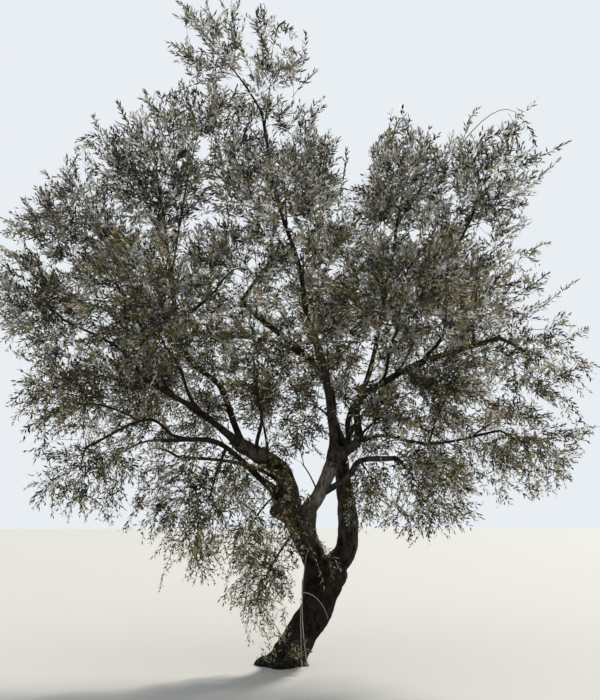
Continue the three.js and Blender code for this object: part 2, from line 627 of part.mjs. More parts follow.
const BARK = { color: 0x3b352d, roughness: 0.92, metalness: 0 };
const PALE_BARK = { color: 0x6e6a61, roughness: 0.9, metalness: 0 };
const FOLIAGE = { color: 0x5d6650, roughness: 0.72, metalness: 0 };

/** The meshes of the trunk and boughs, each cut clear of those before it. */
function buildLimbs(limbs) {
  const group = new THREE.Group();
  const done = [];
  for (const limb of limbs.values()) {
    let solid = limbSolid(limb);
    for (const before of done) {
      solid = solid.subtract(before);
    }
    done.push(limbSolid(limb, CLEARANCE));
    const finish = limb.name === 'middle_stem' ? PALE_BARK : BARK;
    group.add(meshOf(limb.name, largestBody(solid), limb.line.getPointAt(0), finish));
  }
  return group;
}

/** The meshes of the masses of foliage, each in its own space. */
function buildFoliage(limbs) {
  const group = new THREE.Group();
  const limbBeads = [...limbs.values()].flatMap((limb) => limb.beads);
  for (const mass of MASSES) {
    mass.stem = stemNodes(mass, limbs);
  }
  const stems = new Map(MASSES.map((mass) => [mass, stemBeads(mass)]));
  MASSES.forEach((mass, seed) => {
    const others = MASSES.filter((other) => other !== mass).flatMap((other) => stems.get(other));
    mass.obstacles = [...limbBeads, ...others];
    const carrier = limbs.get(mass.bough ? `${mass.name}_bough` : mass.on);
    const solid = massSolid(growMass(mass, seed), carrier);
    group.add(meshOf(`${mass.name}_foliage`, solid, mass.middle, FOLIAGE));
  });
  return group;
}

const limbs = layTree();
const tree = new THREE.Group();
tree.add(buildLimbs(limbs), buildFoliage(limbs));

export default tree;
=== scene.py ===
"""The looks of a garden olive tree: relief bark on its trunk and boughs, fine twigs and many thousand leaves.

Metres, +Z up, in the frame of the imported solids: the origin is the middle of the flat cut under the trunk,
+X is the side that the trunk leans to, and -Y is the front. Twigs and leaves grow on from the limbs by the
seeded rule that the solids were grown by, carried to finer twigs.
"""

import logging
import math
from dataclasses import dataclass, field, fields
from enum import Enum
from typing import Any, Sequence

import bmesh
import bpy
import numpy as np
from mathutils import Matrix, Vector, noise

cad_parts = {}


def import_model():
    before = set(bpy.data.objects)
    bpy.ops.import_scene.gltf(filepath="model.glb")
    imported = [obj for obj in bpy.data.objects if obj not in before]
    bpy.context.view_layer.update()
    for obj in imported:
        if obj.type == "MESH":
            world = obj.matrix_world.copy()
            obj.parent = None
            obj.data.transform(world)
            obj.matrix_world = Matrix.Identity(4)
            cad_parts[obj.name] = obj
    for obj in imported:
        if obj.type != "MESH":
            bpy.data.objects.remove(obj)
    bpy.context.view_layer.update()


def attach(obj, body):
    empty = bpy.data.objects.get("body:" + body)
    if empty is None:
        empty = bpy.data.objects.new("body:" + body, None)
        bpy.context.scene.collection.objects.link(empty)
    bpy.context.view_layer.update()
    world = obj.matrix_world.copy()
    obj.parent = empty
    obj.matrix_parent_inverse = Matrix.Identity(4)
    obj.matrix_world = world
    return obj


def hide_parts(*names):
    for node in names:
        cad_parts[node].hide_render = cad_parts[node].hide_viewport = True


Array = np.ndarray
Point = tuple[float, float, float]
Piece = bpy.types.Object
Material = bpy.types.Material

log = logging.getLogger("olive_tree")

UP = np.array([0.0, 0.0, 1.0])
ALONG_X = np.array([1.0, 0.0, 0.0])
TINY, NOTHING = 1e-6, 1e-12
BODY = "root"


def spread(index: Array, base: int) -> Array:
    """Numbers that fill 0 to 1 evenly: each index's digits, mirrored behind the point.

    Args:
        index: whole numbers, from 0.
        base: the base of the digits.

    Returns:
        One number for each index.
    """
    left, step = index.astype(int), 1.0 / base
    value = np.zeros(len(index))
    while left.any():
        value += (left % base) * step
        left //= base
        step /= base
    return value


def length_of(vectors: Array) -> Array:
    """The lengths of vectors along the last axis, which is kept."""
    return np.linalg.norm(vectors, axis=-1, keepdims=True)


def unit(vectors: Array) -> Array:
    """Vectors of length 1 along the last axis."""
    return vectors / np.maximum(length_of(vectors), NOTHING)


def smoothstep(value: Array, low: float, high: float) -> Array:
    """A smooth rise from 0 at low to 1 at high."""
    share = np.clip((value - low) / (high - low), 0, 1)
    return share * share * (3 - 2 * share)


def circle(sides: int) -> tuple[Array, Array]:
    """The cosines and the sines of a ring's corners, each as a column."""
    turn = (2 * math.pi * np.arange(sides) / sides)[:, None]
    return np.cos(turn), np.sin(turn)


class LimbLine:
    """The line that a limb grows along: a smooth bend through its points, with a slight wander."""

    PARTS, NUDGE = 200, 1e-4
    TURNS, SWAY_RISE = 1.4, 0.5

    def __init__(self, points: Sequence[Array], sway: float, seed: int) -> None:
        """Lays the line.

        Args:
            points: its foot, the point that it leaves towards, the one that it passes half-way, and its tip.
            sway: how far it wanders, as a share of the way from foot to tip.
            seed: its place in the order of the limbs, which sets where the wander starts.
        """
        foot, *_, tip = self.points = np.array(points, float)
        before, after = 2 * foot - self.points[1], 2 * tip - self.points[-2]
        self.row = np.vstack([before, self.points, after])
        self.sway = sway * float(np.linalg.norm(tip - foot))
        self.start = float(spread(np.array([seed]), 2)[0])
        self.steps = np.linspace(0, 1, self.PARTS + 1)
        runs = length_of(np.diff(self.place(self.steps), axis=0))[:, 0]
        self.runs = np.concatenate([[0.0], np.cumsum(runs)])
        self.length = float(self.runs[-1])

    def place(self, t: Array) -> Array:
        """The points at shares of the bend's own measure, which isn't its length.

        Args:
            t: the shares.

        Returns:
            A row of points.
        """
        spans = len(self.points) - 1
        span = np.minimum((t * spans).astype(int), spans - 1)
        part = (t * spans - span)[:, None]
        a, b, c, d = (self.row[span + i] for i in range(4))
        ab, bc, cd = (np.sqrt(length_of(step)) for step in (b - a, c - b, d - c))
        leaving = ((b - a) / ab - (c - a) / (ab + bc) + (c - b) / bc) * bc
        arriving = ((c - b) / bc - (d - b) / (bc + cd) + (d - c) / cd) * bc
        square = 3 * (c - b) - 2 * leaving - arriving
        cube = 2 * (b - c) + leaving + arriving
        bend = b + part * (leaving + part * (square + part * cube))
        turn = 2 * math.pi * (self.TURNS * t + self.start)
        wander = np.stack([np.cos(turn), np.sin(turn), self.SWAY_RISE * np.sin(turn)], axis=-1)
        return bend + wander * (self.sway * np.sin(math.pi * t))[:, None]

    def measure(self, share: Array | float) -> Array:
        """The bend's own measure at shares of its length."""
        return np.interp(np.atleast_1d(share) * self.length, self.runs, self.steps)

    def points_at(self, share: Array) -> Array:
        """The points at shares of the line's length."""
        return self.place(self.measure(share))

    def point(self, share: float) -> Array:
        """The point at one share of the line's length."""
        return self.points_at(share)[0]

    def ways_at(self, share: Array | float) -> Array:
        """The unit ways of the line at shares of its length.

        Args:
            share: the shares.

        Returns:
            A row of ways.
        """
        t = self.measure(share)
        ahead, behind = np.minimum(t + self.NUDGE, 1), np.maximum(t - self.NUDGE, 0)
        return unit(self.place(ahead) - self.place(behind))


@dataclass
class Limb:
    """A limb: what it grows from and where, its radii at foot and tip, and the points that it runs by."""

    name: str
    on: str
    at: float
    girth: tuple[float, float]
    by: Point
    tip: Point
    leave: Point | None = None
    line: LimbLine = field(init=False)

    SWAY, BEAD_STEP = 0.016, 0.03
    LEAVE_TURN, LEAVE_PULL = 0.65, 0.3

    def lay(self, parent: "Limb", seed: int) -> None:
        """Lays the limb's line from its parent's, which it leaves at a slant.

        Args:
            parent: the limb that this one grows from.
            seed: its place in the order of the limbs.
        """
        foot, by = parent.line.point(self.at), np.array(self.by)
        run = float(np.linalg.norm(by - foot))
        slant = parent.line.ways_at(self.at)[0]
        slant = unit(slant + self.LEAVE_TURN * ((by - foot) / run - slant))
        leave = foot + slant * run * self.LEAVE_PULL if self.leave is None else np.array(self.leave)
        self.line = LimbLine([foot, leave, by, np.array(self.tip)], self.SWAY, seed)

    def radius(self, share: Array, angle: Array | float = 0.0) -> Array:
        """The radius at shares of the length and angles round the limb."""
        return self.girth[0] + (self.girth[1] - self.girth[0]) * share + 0 * np.asarray(angle)

    def beads(self) -> tuple[Array, Array]:
        """The points and radii that stand for the limb where room is tested."""
        share = np.linspace(0, 1, math.ceil(self.line.length / self.BEAD_STEP) + 1)
        return self.line.points_at(share), self.radius(share)


@dataclass
class Trunk(Limb):
    """The trunk, with its root flare, its buttresses and its swelling at the fork."""

    LEVEL_PART = 0.3
    FLARE, FLARE_HEIGHT = 0.150, 0.130
    FORK_SWELL, FORK_FROM, FORK_FLAT = 0.036, 0.45, 0.2
    CROTCH_ROUND, CROTCH_FROM = 0.2, 0.9
    LOBES, LOBE_DEPTH, LOBE_TURN, LOBE_FADE, OVAL = 5, 0.12, 0.9, 0.62, 0.5

    def lay_down(self) -> None:
        """Lays the trunk's line from the ground, without a wander."""
        self.line = LimbLine([np.zeros(3), *map(np.array, (self.leave, self.by, self.tip))], 0, 0)

    def radius(self, share: Array, angle: Array | float = LOBE_TURN) -> Array:
        """The radius at shares of the length and angles round the trunk.

        Args:
            share: shares of the length.
            angle: angles from +X, seen from above.

        Returns:
            One radius for each share.
        """
        foot = np.exp(-share * self.line.length / self.FLARE_HEIGHT)
        fork = smoothstep(share, self.FORK_FROM, 1)
        flat = 1 - self.FORK_FLAT * fork * np.sin(angle) ** 2
        top = 1 - self.CROTCH_ROUND * smoothstep(share, self.CROTCH_FROM, 1)
        size = (super().radius(share) + self.FLARE * foot + self.FORK_SWELL * fork) * flat * top
        lobe = np.cos(self.LOBES * (angle - self.LOBE_TURN)) + self.OVAL * np.cos(2 * angle - self.LOBE_TURN)
        fade = foot * (1 - self.LOBE_FADE) + self.LOBE_FADE * (1 - share)
        return size * (1 + self.LOBE_DEPTH * lobe * fade)


@dataclass
class Mass:
    """A mass of foliage: what carries it and where, its middle and its half sizes.

    lift turns its shoots up, or down where it is below 0. full is its share of leaves beside an even crown's.
    bough is the foot radius of a bough of its own, or 0 where it sits on the limb itself.
    """

    name: str
    on: str
    at: float
    centre: Point
    half: Point
    lift: float
    full: float = 1.0
    bough: float = 0.0

    ENTRY, CARRIER_ARCH, CARRIER_TAPER = 0.74, 0.07, 0.7
    STEM_END, STEM_ARCH, STEM_STEPS = 0.2, 0.08, 6

    @property
    def carrier(self) -> str:
        """The name of the limb that the mass's stem starts from."""
        return f"{self.name}_bough" if self.bough else self.on

    def reach(self, points: Array) -> Array:
        """The shares of the mass's reach that points lie at: 0 in its middle, 1 on its outline."""
        return np.linalg.norm((points - np.array(self.centre)) / np.array(self.half), axis=-1)

    def own_bough(self, parent: Limb) -> Limb:
        """The bough that leads from a limb to the near side of the mass.

        Args:
            parent: the limb.

        Returns:
            The bough, not yet laid.
        """
        foot, middle = parent.line.point(self.at), np.array(self.centre)
        tip = middle + (foot - middle) * self.ENTRY / self.reach(foot)
        by = (foot + tip) / 2 + UP * self.CARRIER_ARCH * np.linalg.norm(tip - foot)
        girth = (self.bough, self.bough * self.CARRIER_TAPER)
        return Limb(self.carrier, self.on, self.at, girth, tuple(by), tuple(tip))

    def stem(self, carrier: Limb) -> Array:
        """The points of the mass's stem, from the limb that carries it to near its middle.

        Args:
            carrier: the limb that the stem starts from.

        Returns:
            Its points, foot first.
        """
        foot, middle = carrier.line.point(1.0 if self.bough else self.at), np.array(self.centre)
        end = middle + (foot - middle) * min(1.0, self.STEM_END / float(self.reach(foot)))
        share = np.linspace(0, 1, self.STEM_STEPS + 1)[:, None]
        rise = self.STEM_ARCH * np.linalg.norm(end - foot) * np.sin(math.pi * share)
        return foot + (end - foot) * share + UP * rise


TRUNK = Trunk("trunk", "", 0, (0.128, 0.207), (0.32, 0.02, 0.54), (0.47, 0.04, 1.06), (0.14, 0, 0.23))

BOUGHS = (
    Limb("left_stem", "trunk", 0.84, (0.139, 0.105),
         (0.15, -0.05, 1.44), (0.01, -0.12, 1.9), (0.31, 0, 1.04)),
    Limb("right_stem", "trunk", 0.88, (0.131, 0.074),
         (0.68, 0.13, 1.56), (0.62, 0.28, 2.29), (0.63, 0.07, 1.1)),
    Limb("middle_stem", "left_stem", 0.36, (0.085, 0.07),
         (0.34, -0.14, 1.69), (0.52, -0.18, 2.09), (0.26, -0.1, 1.53)),
    Limb("left_bough", "left_stem", 0.97, (0.098, 0.08),
         (-0.22, -0.22, 2.13), (-0.49, -0.32, 2.28), (-0.03, -0.16, 2.02)),
    Limb("left_reach", "left_bough", 0.96, (0.043, 0.026), (-0.85, -0.5, 2.58), (-1.23, -0.75, 2.78)),
    Limb("left_rise", "left_bough", 0.9, (0.037, 0.02),
         (-1.05, -0.1, 3.21), (-1.35, 0.1, 4.45), (-0.68, -0.15, 2.85)),
    Limb("left_under", "left_stem", 0.58, (0.042, 0.02),
         (-0.67, -0.5, 2.27), (-1.23, -0.78, 2.27), (-0.19, -0.2, 1.86)),
    Limb("left_far", "left_under", 0.85, (0.017, 0.012), (-1.33, -0.9, 2.47), (-1.94, -0.95, 2.19)),
    Limb("leader_foot", "middle_stem", 1, (0.05, 0.03),
         (0.51, -0.1, 2.79), (0.3, 0, 3.63), (0.51, -0.16, 2.33)),
    Limb("leader", "leader_foot", 1, (0.03, 0.016), (-0.02, 0.08, 4.87), (-0.29, 0.1, 6.25)),
    Limb("right_fork", "middle_stem", 0.96, (0.052, 0.042), (0.65, -0.22, 2.19), (0.79, -0.27, 2.31)),
    Limb("right_bough", "right_fork", 1, (0.041, 0.025),
         (1.25, -0.45, 3.03), (2.25, -0.6, 3.36), (0.83, -0.3, 2.76)),
    Limb("right_level", "right_fork", 0.98, (0.02, 0.013), (1.54, -0.35, 2.28), (2.28, -0.35, 2.41)),
    Limb("right_low_bough", "middle_stem", 0.58, (0.036, 0.028),
         (0.81, -0.25, 2.09), (1.17, -0.4, 2.12), (0.65, -0.2, 1.92)),
    Limb("centre_rise", "right_fork", 0.55, (0.032, 0.02),
         (0.9, -0.05, 3.05), (1.22, 0, 4.37), (0.71, -0.15, 2.49)),
    Limb("rear_bough", "right_stem", 1, (0.058, 0.028), (0.43, 0.5, 3.1), (-0.55, 0.8, 4.1)),
)

MASSES = (
    Mass("top_left", "leader", 1, (-0.89, 0, 7.04), (0.5, 0.45, 0.66), 0.6, 0.45),
    Mass("top_right", "leader", 0.92, (-0.17, 0.15, 6.8), (0.44, 0.45, 0.75), 0.6, 0.6),
    Mass("leader_right", "leader", 0.55, (0.31, 0.1, 5.49), (0.45, 0.6, 0.64), 0.5),
    Mass("leader_left", "leader", 0.66, (-0.59, 0.15, 5.66), (0.57, 0.65, 0.66), 0.5, 0.8),
    Mass("left_shoulder", "left_rise", 1, (-1.5, -0.1, 5.46), (0.76, 0.85, 0.85), 0.42, 0.8),
    Mass("left_upper", "left_reach", 0.85, (-2.26, -0.3, 4.67), (0.71, 0.9, 0.69), 0.3, 0.82, 0.02),
    Mass("left_tip", "left_reach", 1, (-2.71, -0.35, 3.83), (0.5, 0.8, 0.7), 0, 1, 0.018),
    Mass("left_front", "left_reach", 0.55, (-1.39, -1.3, 3.6), (0.78, 0.8, 0.72), 0, 1, 0.02),
    Mass("left_mid", "left_reach", 0.8, (-1.7, -0.2, 3), (0.63, 0.75, 0.52), 0, 1.4),
    Mass("left_lower", "left_far", 0.5, (-2.2, -0.95, 2.66), (0.54, 0.6, 0.46), -0.3, 1.35),
    Mass("left_hang", "left_far", 1, (-2.02, -0.9, 1.92), (0.53, 0.5, 0.49), -0.8),
    Mass("low_left", "left_under", 0.62, (-0.79, -0.65, 1.57), (0.7, 0.6, 0.72), -0.8, 1.1),
    Mass("trunk_hang", "left_stem", 0.52, (-0.22, -0.35, 0.86), (0.35, 0.32, 0.51), -0.9, 2.6),
    Mass("centre_front", "left_bough", 0.55, (-0.29, -1.35, 3.14), (0.71, 0.8, 0.59), 0, 0.44, 0.022),
    Mass("centre", "left_rise", 0.62, (-0.54, 0.3, 4.45), (0.71, 0.8, 0.64), 0.3, 0.72, 0.02),
    Mass("notch", "leader", 0.08, (0.56, -0.1, 4.18), (0.56, 0.8, 0.74), 0.2, 0.9),
    Mass("right_shoulder", "centre_rise", 1, (1.39, 0, 5.38), (0.72, 0.85, 0.84), 0.6, 0.74),
    Mass("right_top", "right_bough", 0.6, (2.29, -0.2, 5.35), (0.64, 0.7, 0.73), 0.5, 0.66, 0.02),
    Mass("right_upper", "right_bough", 0.85, (2.17, -0.2, 4.2), (0.65, 0.85, 0.6), 0.3, 0.6, 0.018),
    Mass("right_tip", "right_bough", 1, (2.75, -0.5, 3.06), (0.51, 0.75, 0.65), -0.2, 0.58),
    Mass("right_front", "right_bough", 0.35, (1.23, -1.35, 3.68), (0.78, 0.75, 0.68), 0.1, 0.85, 0.02),
    Mass("right_mid", "right_level", 0.5, (1.68, -0.75, 2.77), (0.59, 0.6, 0.47), -0.2, 1.5),
    Mass("right_low", "right_level", 1, (2.66, -0.3, 2.14), (0.57, 0.6, 0.48), -0.7),
    Mass("right_hang", "right_low_bough", 1, (1.47, -0.4, 1.75), (0.66, 0.6, 0.54), -0.8, 1.2),
    Mass("back_centre", "right_stem", 0.97, (0.3, 1.7, 3.93), (1.09, 0.85, 0.98), 0.2, 0.42, 0.03),
    Mass("back_left", "rear_bough", 0.5, (-1.36, 1.25, 3.97), (1.07, 0.85, 1.07), 0.2, 0.55, 0.028),
    Mass("back_right", "right_stem", 0.85, (1.84, 1.35, 3.99), (1.11, 0.9, 1.11), 0.2, 0.6, 0.03),
    Mass("back_top", "rear_bough", 1, (0.3, 1.05, 5.17), (0.97, 0.75, 0.77), 0.4, 0.42),
    Mass("back_low_left", "left_stem", 0.9, (-1.76, 0.95, 2.35), (0.87, 0.7, 0.58), -0.5, 0.5, 0.024),
    Mass("back_low_right", "back_right_bough", 0.4, (2.15, 0.9, 2.29), (0.74, 0.7, 0.55), -0.5, 0.5),
    Mass("foot_shoots", "trunk", 0.16, (0.02, -0.5, 0.23), (0.32, 0.25, 0.22), 0.7, 0.9),
)

INNER_MASSES = (
    Mass("inner_left", "left_bough", 0.45, (-0.3, -0.1, 2.78), (0.5, 0.5, 0.36), 0.1, 1.7),
    Mass("inner_middle", "leader_foot", 0.3, (0.2, 0.1, 2.8), (0.42, 0.6, 0.45), 0.2, 0.9),
    Mass("inner_low", "left_stem", 0.8, (-0.4, 0.2, 2.0), (0.4, 0.4, 0.36), -0.5, 1.2),
    Mass("inner_fork", "middle_stem", 0.6, (0.14, -0.3, 2.15), (0.26, 0.35, 0.5), -0.2),
    Mass("inner_right", "right_fork", 0.8, (1.1, -0.45, 2.62), (0.5, 0.5, 0.42), 0, 1.6),
    Mass("under_right", "right_low_bough", 0.6, (1.0, -0.3, 1.75), (0.42, 0.4, 0.36), -0.6, 1.3),
    Mass("leader_neck", "leader", 0.78, (-0.62, 0.1, 6.28), (0.45, 0.4, 0.36), 0.5, 0.75),
    Mass("leader_front", "leader", 0.45, (0.0, -0.6, 5.0), (0.5, 0.42, 0.55), 0.4, 0.85),
    Mass("shoulder_gap", "left_rise", 0.9, (-1.0, -0.2, 5.9), (0.42, 0.45, 0.5), 0.5, 0.9),
    Mass("right_gap", "centre_rise", 0.85, (1.9, 0, 4.75), (0.45, 0.6, 0.5), 0.4, 0.8),
    Mass("right_between", "right_level", 0.8, (2.5, -0.4, 2.6), (0.5, 0.5, 0.25), 0),
    Mass("leader_cover", "leader", 0.12, (0.2, -0.5, 4.45), (0.36, 0.3, 0.55), 0.3, 0.9),
    Mass("stem_cover", "leader_foot", 0.35, (0.44, -0.5, 3.5), (0.32, 0.3, 0.46), 0.2, 1.1),
    Mass("right_veil", "right_bough", 0.7, (2.0, -0.6, 3.5), (0.32, 0.26, 0.4), 0.2, 1.3),
    Mass("low_between", "left_under", 0.2, (-0.42, -0.5, 1.3), (0.4, 0.35, 0.42), -0.8, 1.6),
    Mass("hang_cover", "left_stem", 0.6, (-0.06, -0.45, 1.32), (0.26, 0.22, 0.36), -0.8, 1.8),
    Mass("fork_back", "rear_bough", 0.25, (0.58, 0.35, 3.0), (0.32, 0.3, 0.55), 0.1, 2),
    Mass("rise_foot", "left_rise", 0.2, (-0.85, -0.1, 2.66), (0.4, 0.35, 0.32), 0, 2.3),
    Mass("level_under", "right_level", 0.25, (0.95, -0.2, 2.24), (0.42, 0.3, 0.22), 0, 2.2),
    Mass("heart", "centre_rise", 0.8, (1.1, 0.2, 4.5), (0.5, 0.4, 0.5), 0.3, 1.3),
    Mass("stem_front", "left_stem", 0.75, (-0.03, -0.42, 1.62), (0.3, 0.2, 0.42), -0.8, 1.5),
)


FOLIAGE_NODES = [f"{mass.name}_foliage" for mass in MASSES]


class Skeleton:
    """The trunk, the boughs and the masses' own boughs, each laid from its parent's line."""

    NEAR = 0.5

    def __init__(self) -> None:
        """Lays every limb in the solids' order."""
        TRUNK.lay_down()
        self.limbs: dict[str, Limb] = {TRUNK.name: TRUNK}
        for bough in BOUGHS:
            self._add(bough)
        for mass in (row for row in MASSES if row.bough):
            self._add(mass.own_bough(self.limbs[mass.on]))
        beads = [limb.beads() for limb in self.limbs.values()]
        self.bead_points = np.vstack([points for points, _ in beads])
        self.bead_radii = np.concatenate([radii for _, radii in beads])

    def _add(self, limb: Limb) -> None:
        """Lays one limb and keeps it."""
        limb.lay(self.limbs[limb.on], len(self.limbs))
        self.limbs[limb.name] = limb

    def clear(self, points: Array, room: float) -> Array:
        """Whether points are clear of every limb.

        Args:
            points: the points.
            room: the air that each needs.

        Returns:
            True or False for each point.
        """
        box = np.ptp(points, axis=0) / 2 + self.NEAR
        near = np.all(np.abs(self.bead_points - points.mean(0)) < box, axis=1)
        if not near.any():
            return np.ones(len(points), bool)
        gaps = np.linalg.norm(points[:, None] - self.bead_points[near], axis=2) - self.bead_radii[near]
        return gaps.min(axis=1) > room


@dataclass(frozen=True)
class SkyGap:
    """A gap through the crown: a straight tunnel of oval section from front to back.

    middle is its x and z in the plane y = 0, half its half width and height, and rise how much higher it is
    for each metre further back.
    """

    middle: tuple[float, float]
    half: tuple[float, float]
    rise: float

    def holds(self, points: Array) -> Array:
        """Whether points are in the gap.

        Args:
            points: the points.

        Returns:
            True or False for each.
        """
        x = (points[:, 0] - self.middle[0]) / self.half[0]
        z = (points[:, 2] - self.rise * points[:, 1] - self.middle[1]) / self.half[1]
        return x * x + z * z < 1


SKY_GAPS = (
    SkyGap((0.8, 5.75), (0.2, 0.44), 0.44),
    SkyGap((0.85, 6.25), (0.34, 0.5), 0.5),
    SkyGap((1.8, 6.4), (0.45, 0.42), 0.5),
    SkyGap((2.1, 6.3), (0.36, 0.36), 0.5),
    SkyGap((-1.98, 6.36), (0.34, 0.3), 0.5),
    SkyGap((0.02, 4.77), (0.1, 0.19), 0.34),
    SkyGap((-0.4, 4.37), (0.14, 0.11), 0.3),
    SkyGap((-0.57, 4.07), (0.15, 0.11), 0.26),
    SkyGap((0.51, 4.27), (0.12, 0.09), 0.29),
    SkyGap((3.1, 4.75), (0.42, 0.75), 0.34),
    SkyGap((0.24, 1.96), (0.08, 0.12), 0.05),
    SkyGap((0.47, 1.48), (0.12, 0.42), -0.01),
)


@dataclass
class Shoots:
    """Leafy shoots of one size class: their points and radii, where their leaves start, and their tint."""

    paths: Array
    radii: Array
    bare: Array
    tints: Array
    hang: Array

    @property
    def line(self) -> tuple[Array, Array]:
        """The points and radii that their twigs are made from."""
        return self.paths, self.radii


class Tint(Enum):
    """The sprays' kinds of leaf: their word, upper side, underside, share of the sprays, and fall. The dark
    kind is partly painted shade, and the silver kind's pale sides are partly a painted glint.

    The fall is the part of that share that goes with each METRES_UP above the crown's heart, so that the low
    leaves are the warmer ones and the high ones more often silver, a painted highlight on the top of the
    crown.
    """

    GREY = ("grey", "#25261f", "#a9a495", 0.18, -0.15)
    GREEN = ("green", "#272c13", "#949465", 0.2, 0.35)
    # near-black sprays: partly a darker leaf, partly painted shade inside the crown
    DARK = ("dark", "#0b0c09", "#57554a", 0.18, -0.1)
    OLIVE = ("olive", "#4a421d", "#aa9f68", 0.15, 0.6)
    # silver undersides, and an upper side painted pale: partly real silver, partly a painted glint of sun
    SILVER = ("silver", "#83827b", "#ebe6dc", 0.16, -0.35)
    TAN = ("tan", "#4c3d2a", "#bba684", 0.12, 0.5)

    def __init__(self, word: str, upper: str, under: str, share: float, fall: float) -> None:
        """Keeps the kind's values.

        Args:
            word: its name.
            upper: the upper side's colour.
            under: the underside's colour.
            share: its share of the sprays.
            fall: how that share falls with height.
        """
        self.word, self.upper, self.under = word, upper, under
        self.share, self.fall = share, fall


class MassGrowth:
    """One mass's twigs, grown from its stem by the seeded rule and carried to fine leafy shoots."""

    HEART = np.array([0.2, 0, 3.1])
    METRES_UP, LEAST_SHARE = 1.5, 0.1
    HOLLOW, EDGE, BETWEEN = 0.3, 1.2, 1.45
    OUTWARD, ONWARD, JITTER = 0.9, 0.6, 0.35
    SPACING, TRIES, SEED_STEP, BASES = 1.0, 3000, 40, (2, 3, 5, 7)
    TWIG_ROOM, LEAF_ROOM, GROUND_ROOM, FURTHEST_BACK = 0.012, 0.04, 0.05, 2.46
    PATH_COST, TURN_COST, JOINTS_TRIED = 0.3, 0.8, 6
    BOW, TWIG_TESTS = 0.4, 5
    LEAVE_ON, LEAVE_UP, ARRIVE = 0.75, 0.25, 0.9
    SHOOT, SHOOT_CHANGE, LEAST_SHOOT, FULL_HALF = 0.31, 0.35, 0.4, 0.5
    ARCH, ARCH_UP, ARCH_TURN, LEVEL_LIFT = 0.14, 0.5, 0.9, -0.15
    SIDE_AT = (0.04, 0.26, 0.5)
    SIDE_SHOOT, SIDE_TAPER, SIDE_CHANGE = 0.78, 0.5, 0.2
    SIDE_ANGLE, ANGLE_CHANGE, SIDE_TILT = 0.85, 0.25, 0.3
    SIDE_FORWARD, SIDE_BARE, SIDE_GIRTH = 0.3, 0.2, 0.7
    TWIG_RADIUS, TWIG_POWER, TIP_RADIUS = 0.0022, 0.46, 0.0008
    TWIG_FIT, TWIG_LEAF = 0.8, 0.4
    STEM_FIT, SIDE_STEM, SIDE_SWELL, STEM_FADE = 0.96, 0.7, 1.5, 1.5
    TWIG_POINTS, SHOOT_POINTS, SIDE_POINTS = 3, 4, 3

    def __init__(self, mass: Mass, seed: int, wanted: int, skeleton: Skeleton) -> None:
        """Grows the mass.

        Args:
            mass: the mass.
            seed: its place in the order of the masses.
            wanted: how many sprays it should have.
            skeleton: the limbs, which its twigs keep clear of.
        """
        self.mass, self.seed, self.skeleton = mass, seed, skeleton
        self.random = np.random.default_rng(seed)
        self.carrier = skeleton.limbs[mass.carrier]
        stem = mass.stem(self.carrier)
        self.used = self.stem_count = len(stem)
        room = self.stem_count + 2 * wanted
        self.nodes, self.back = np.zeros((room, 3)), np.full(room, -1)
        self.run, self.sprays = np.zeros(room), np.zeros(room, int)
        self.nodes[: self.used] = stem
        self.back[: self.used] = np.arange(self.used) - 1
        self.run[: self.used] = np.linspace(0, np.linalg.norm(stem[-1] - stem[0]), self.used)
        self.leads: list[tuple[int, int, Array]] = []
        self._grow(wanted)

    def _own_space(self, points: Array, room: float) -> Array:
        """Whether points are in this mass, or beside it and near another, with air to the ground and limbs.

        Args:
            points: the points.
            room: the air that each needs.

        Returns:
            True or False for each point.
        """
        reach = np.stack([other.reach(points) for other in MASSES + INNER_MASSES], axis=1)
        own = reach[:, self.seed].copy()
        reach[:, self.seed] = np.inf
        other = reach.min(axis=1)
        inside = (other >= own) & ((own <= 1) | (other <= self.BETWEEN))
        for gap in SKY_GAPS:
            inside &= ~gap.holds(points)
        inside &= (points[:, 2] > self.GROUND_ROOM) & (points[:, 1] < self.FURTHEST_BACK)
        return inside & self.skeleton.clear(points, room)

    def _ends(self) -> tuple[Array, Array, Array]:
        """The shoots that the rule tries, in its order.

        Returns:
            Their tips, ways and lengths.
        """
        number = np.arange(self.TRIES)
        number[1:] += self.SEED_STEP * self.seed
        high, round_, deep, long = (spread(number, base) for base in self.BASES)
        height = 2 * high - 1
        angle = 2 * math.pi * round_
        flat = np.sqrt(1 - height**2)
        out = np.stack([flat * np.cos(angle), flat * np.sin(angle), height], axis=1)
        shell = self.HOLLOW**3
        reach = self.EDGE * np.cbrt(shell + (1 - shell) * deep)
        out[0], reach[0] = unit(np.array(self.mass.centre) - self.HEART), self.EDGE
        tips = np.array(self.mass.centre) + out * reach[:, None] * np.array(self.mass.half)
        ways = self.ONWARD * unit(tips - self.HEART) + self.OUTWARD * out + self.mass.lift * UP
        ways = unit(unit(ways) + self.JITTER * self.random.normal(size=ways.shape))
        lengths = self.SHOOT * (1 + self.SHOOT_CHANGE * (2 * long - 1))
        size = float(np.mean(self.mass.half)) / self.FULL_HALF
        return tips, ways, lengths * min(1.0, self.LEAST_SHOOT + (1 - self.LEAST_SHOOT) * size)

    def _grow(self, wanted: int) -> None:
        """Picks well-spaced shoots and joins each to the growth so far, the nearest ones first.

        Args:
            wanted: how many shoots.
        """
        tips, ways, lengths = self._ends()
        roots = tips - ways * lengths[:, None]
        fits = self._own_space(tips, self.LEAF_ROOM) & self._own_space(roots, self.TWIG_ROOM)
        fits &= self.skeleton.clear((tips + roots) / 2, self.LEAF_ROOM)
        apart = self.SPACING * float(np.mean(self.mass.half)) / np.cbrt(wanted)
        picked: list[int] = []
        for i in np.flatnonzero(fits):
            if len(picked) == wanted:
                break
            if not picked or length_of(tips[picked] - tips[i]).min() > apart:
                picked.append(int(i))
        picked.sort(key=lambda i: float(np.linalg.norm(roots[i] - self.nodes[0])))
        for i in picked:
            self._join(roots[i], ways[i], tips[i])

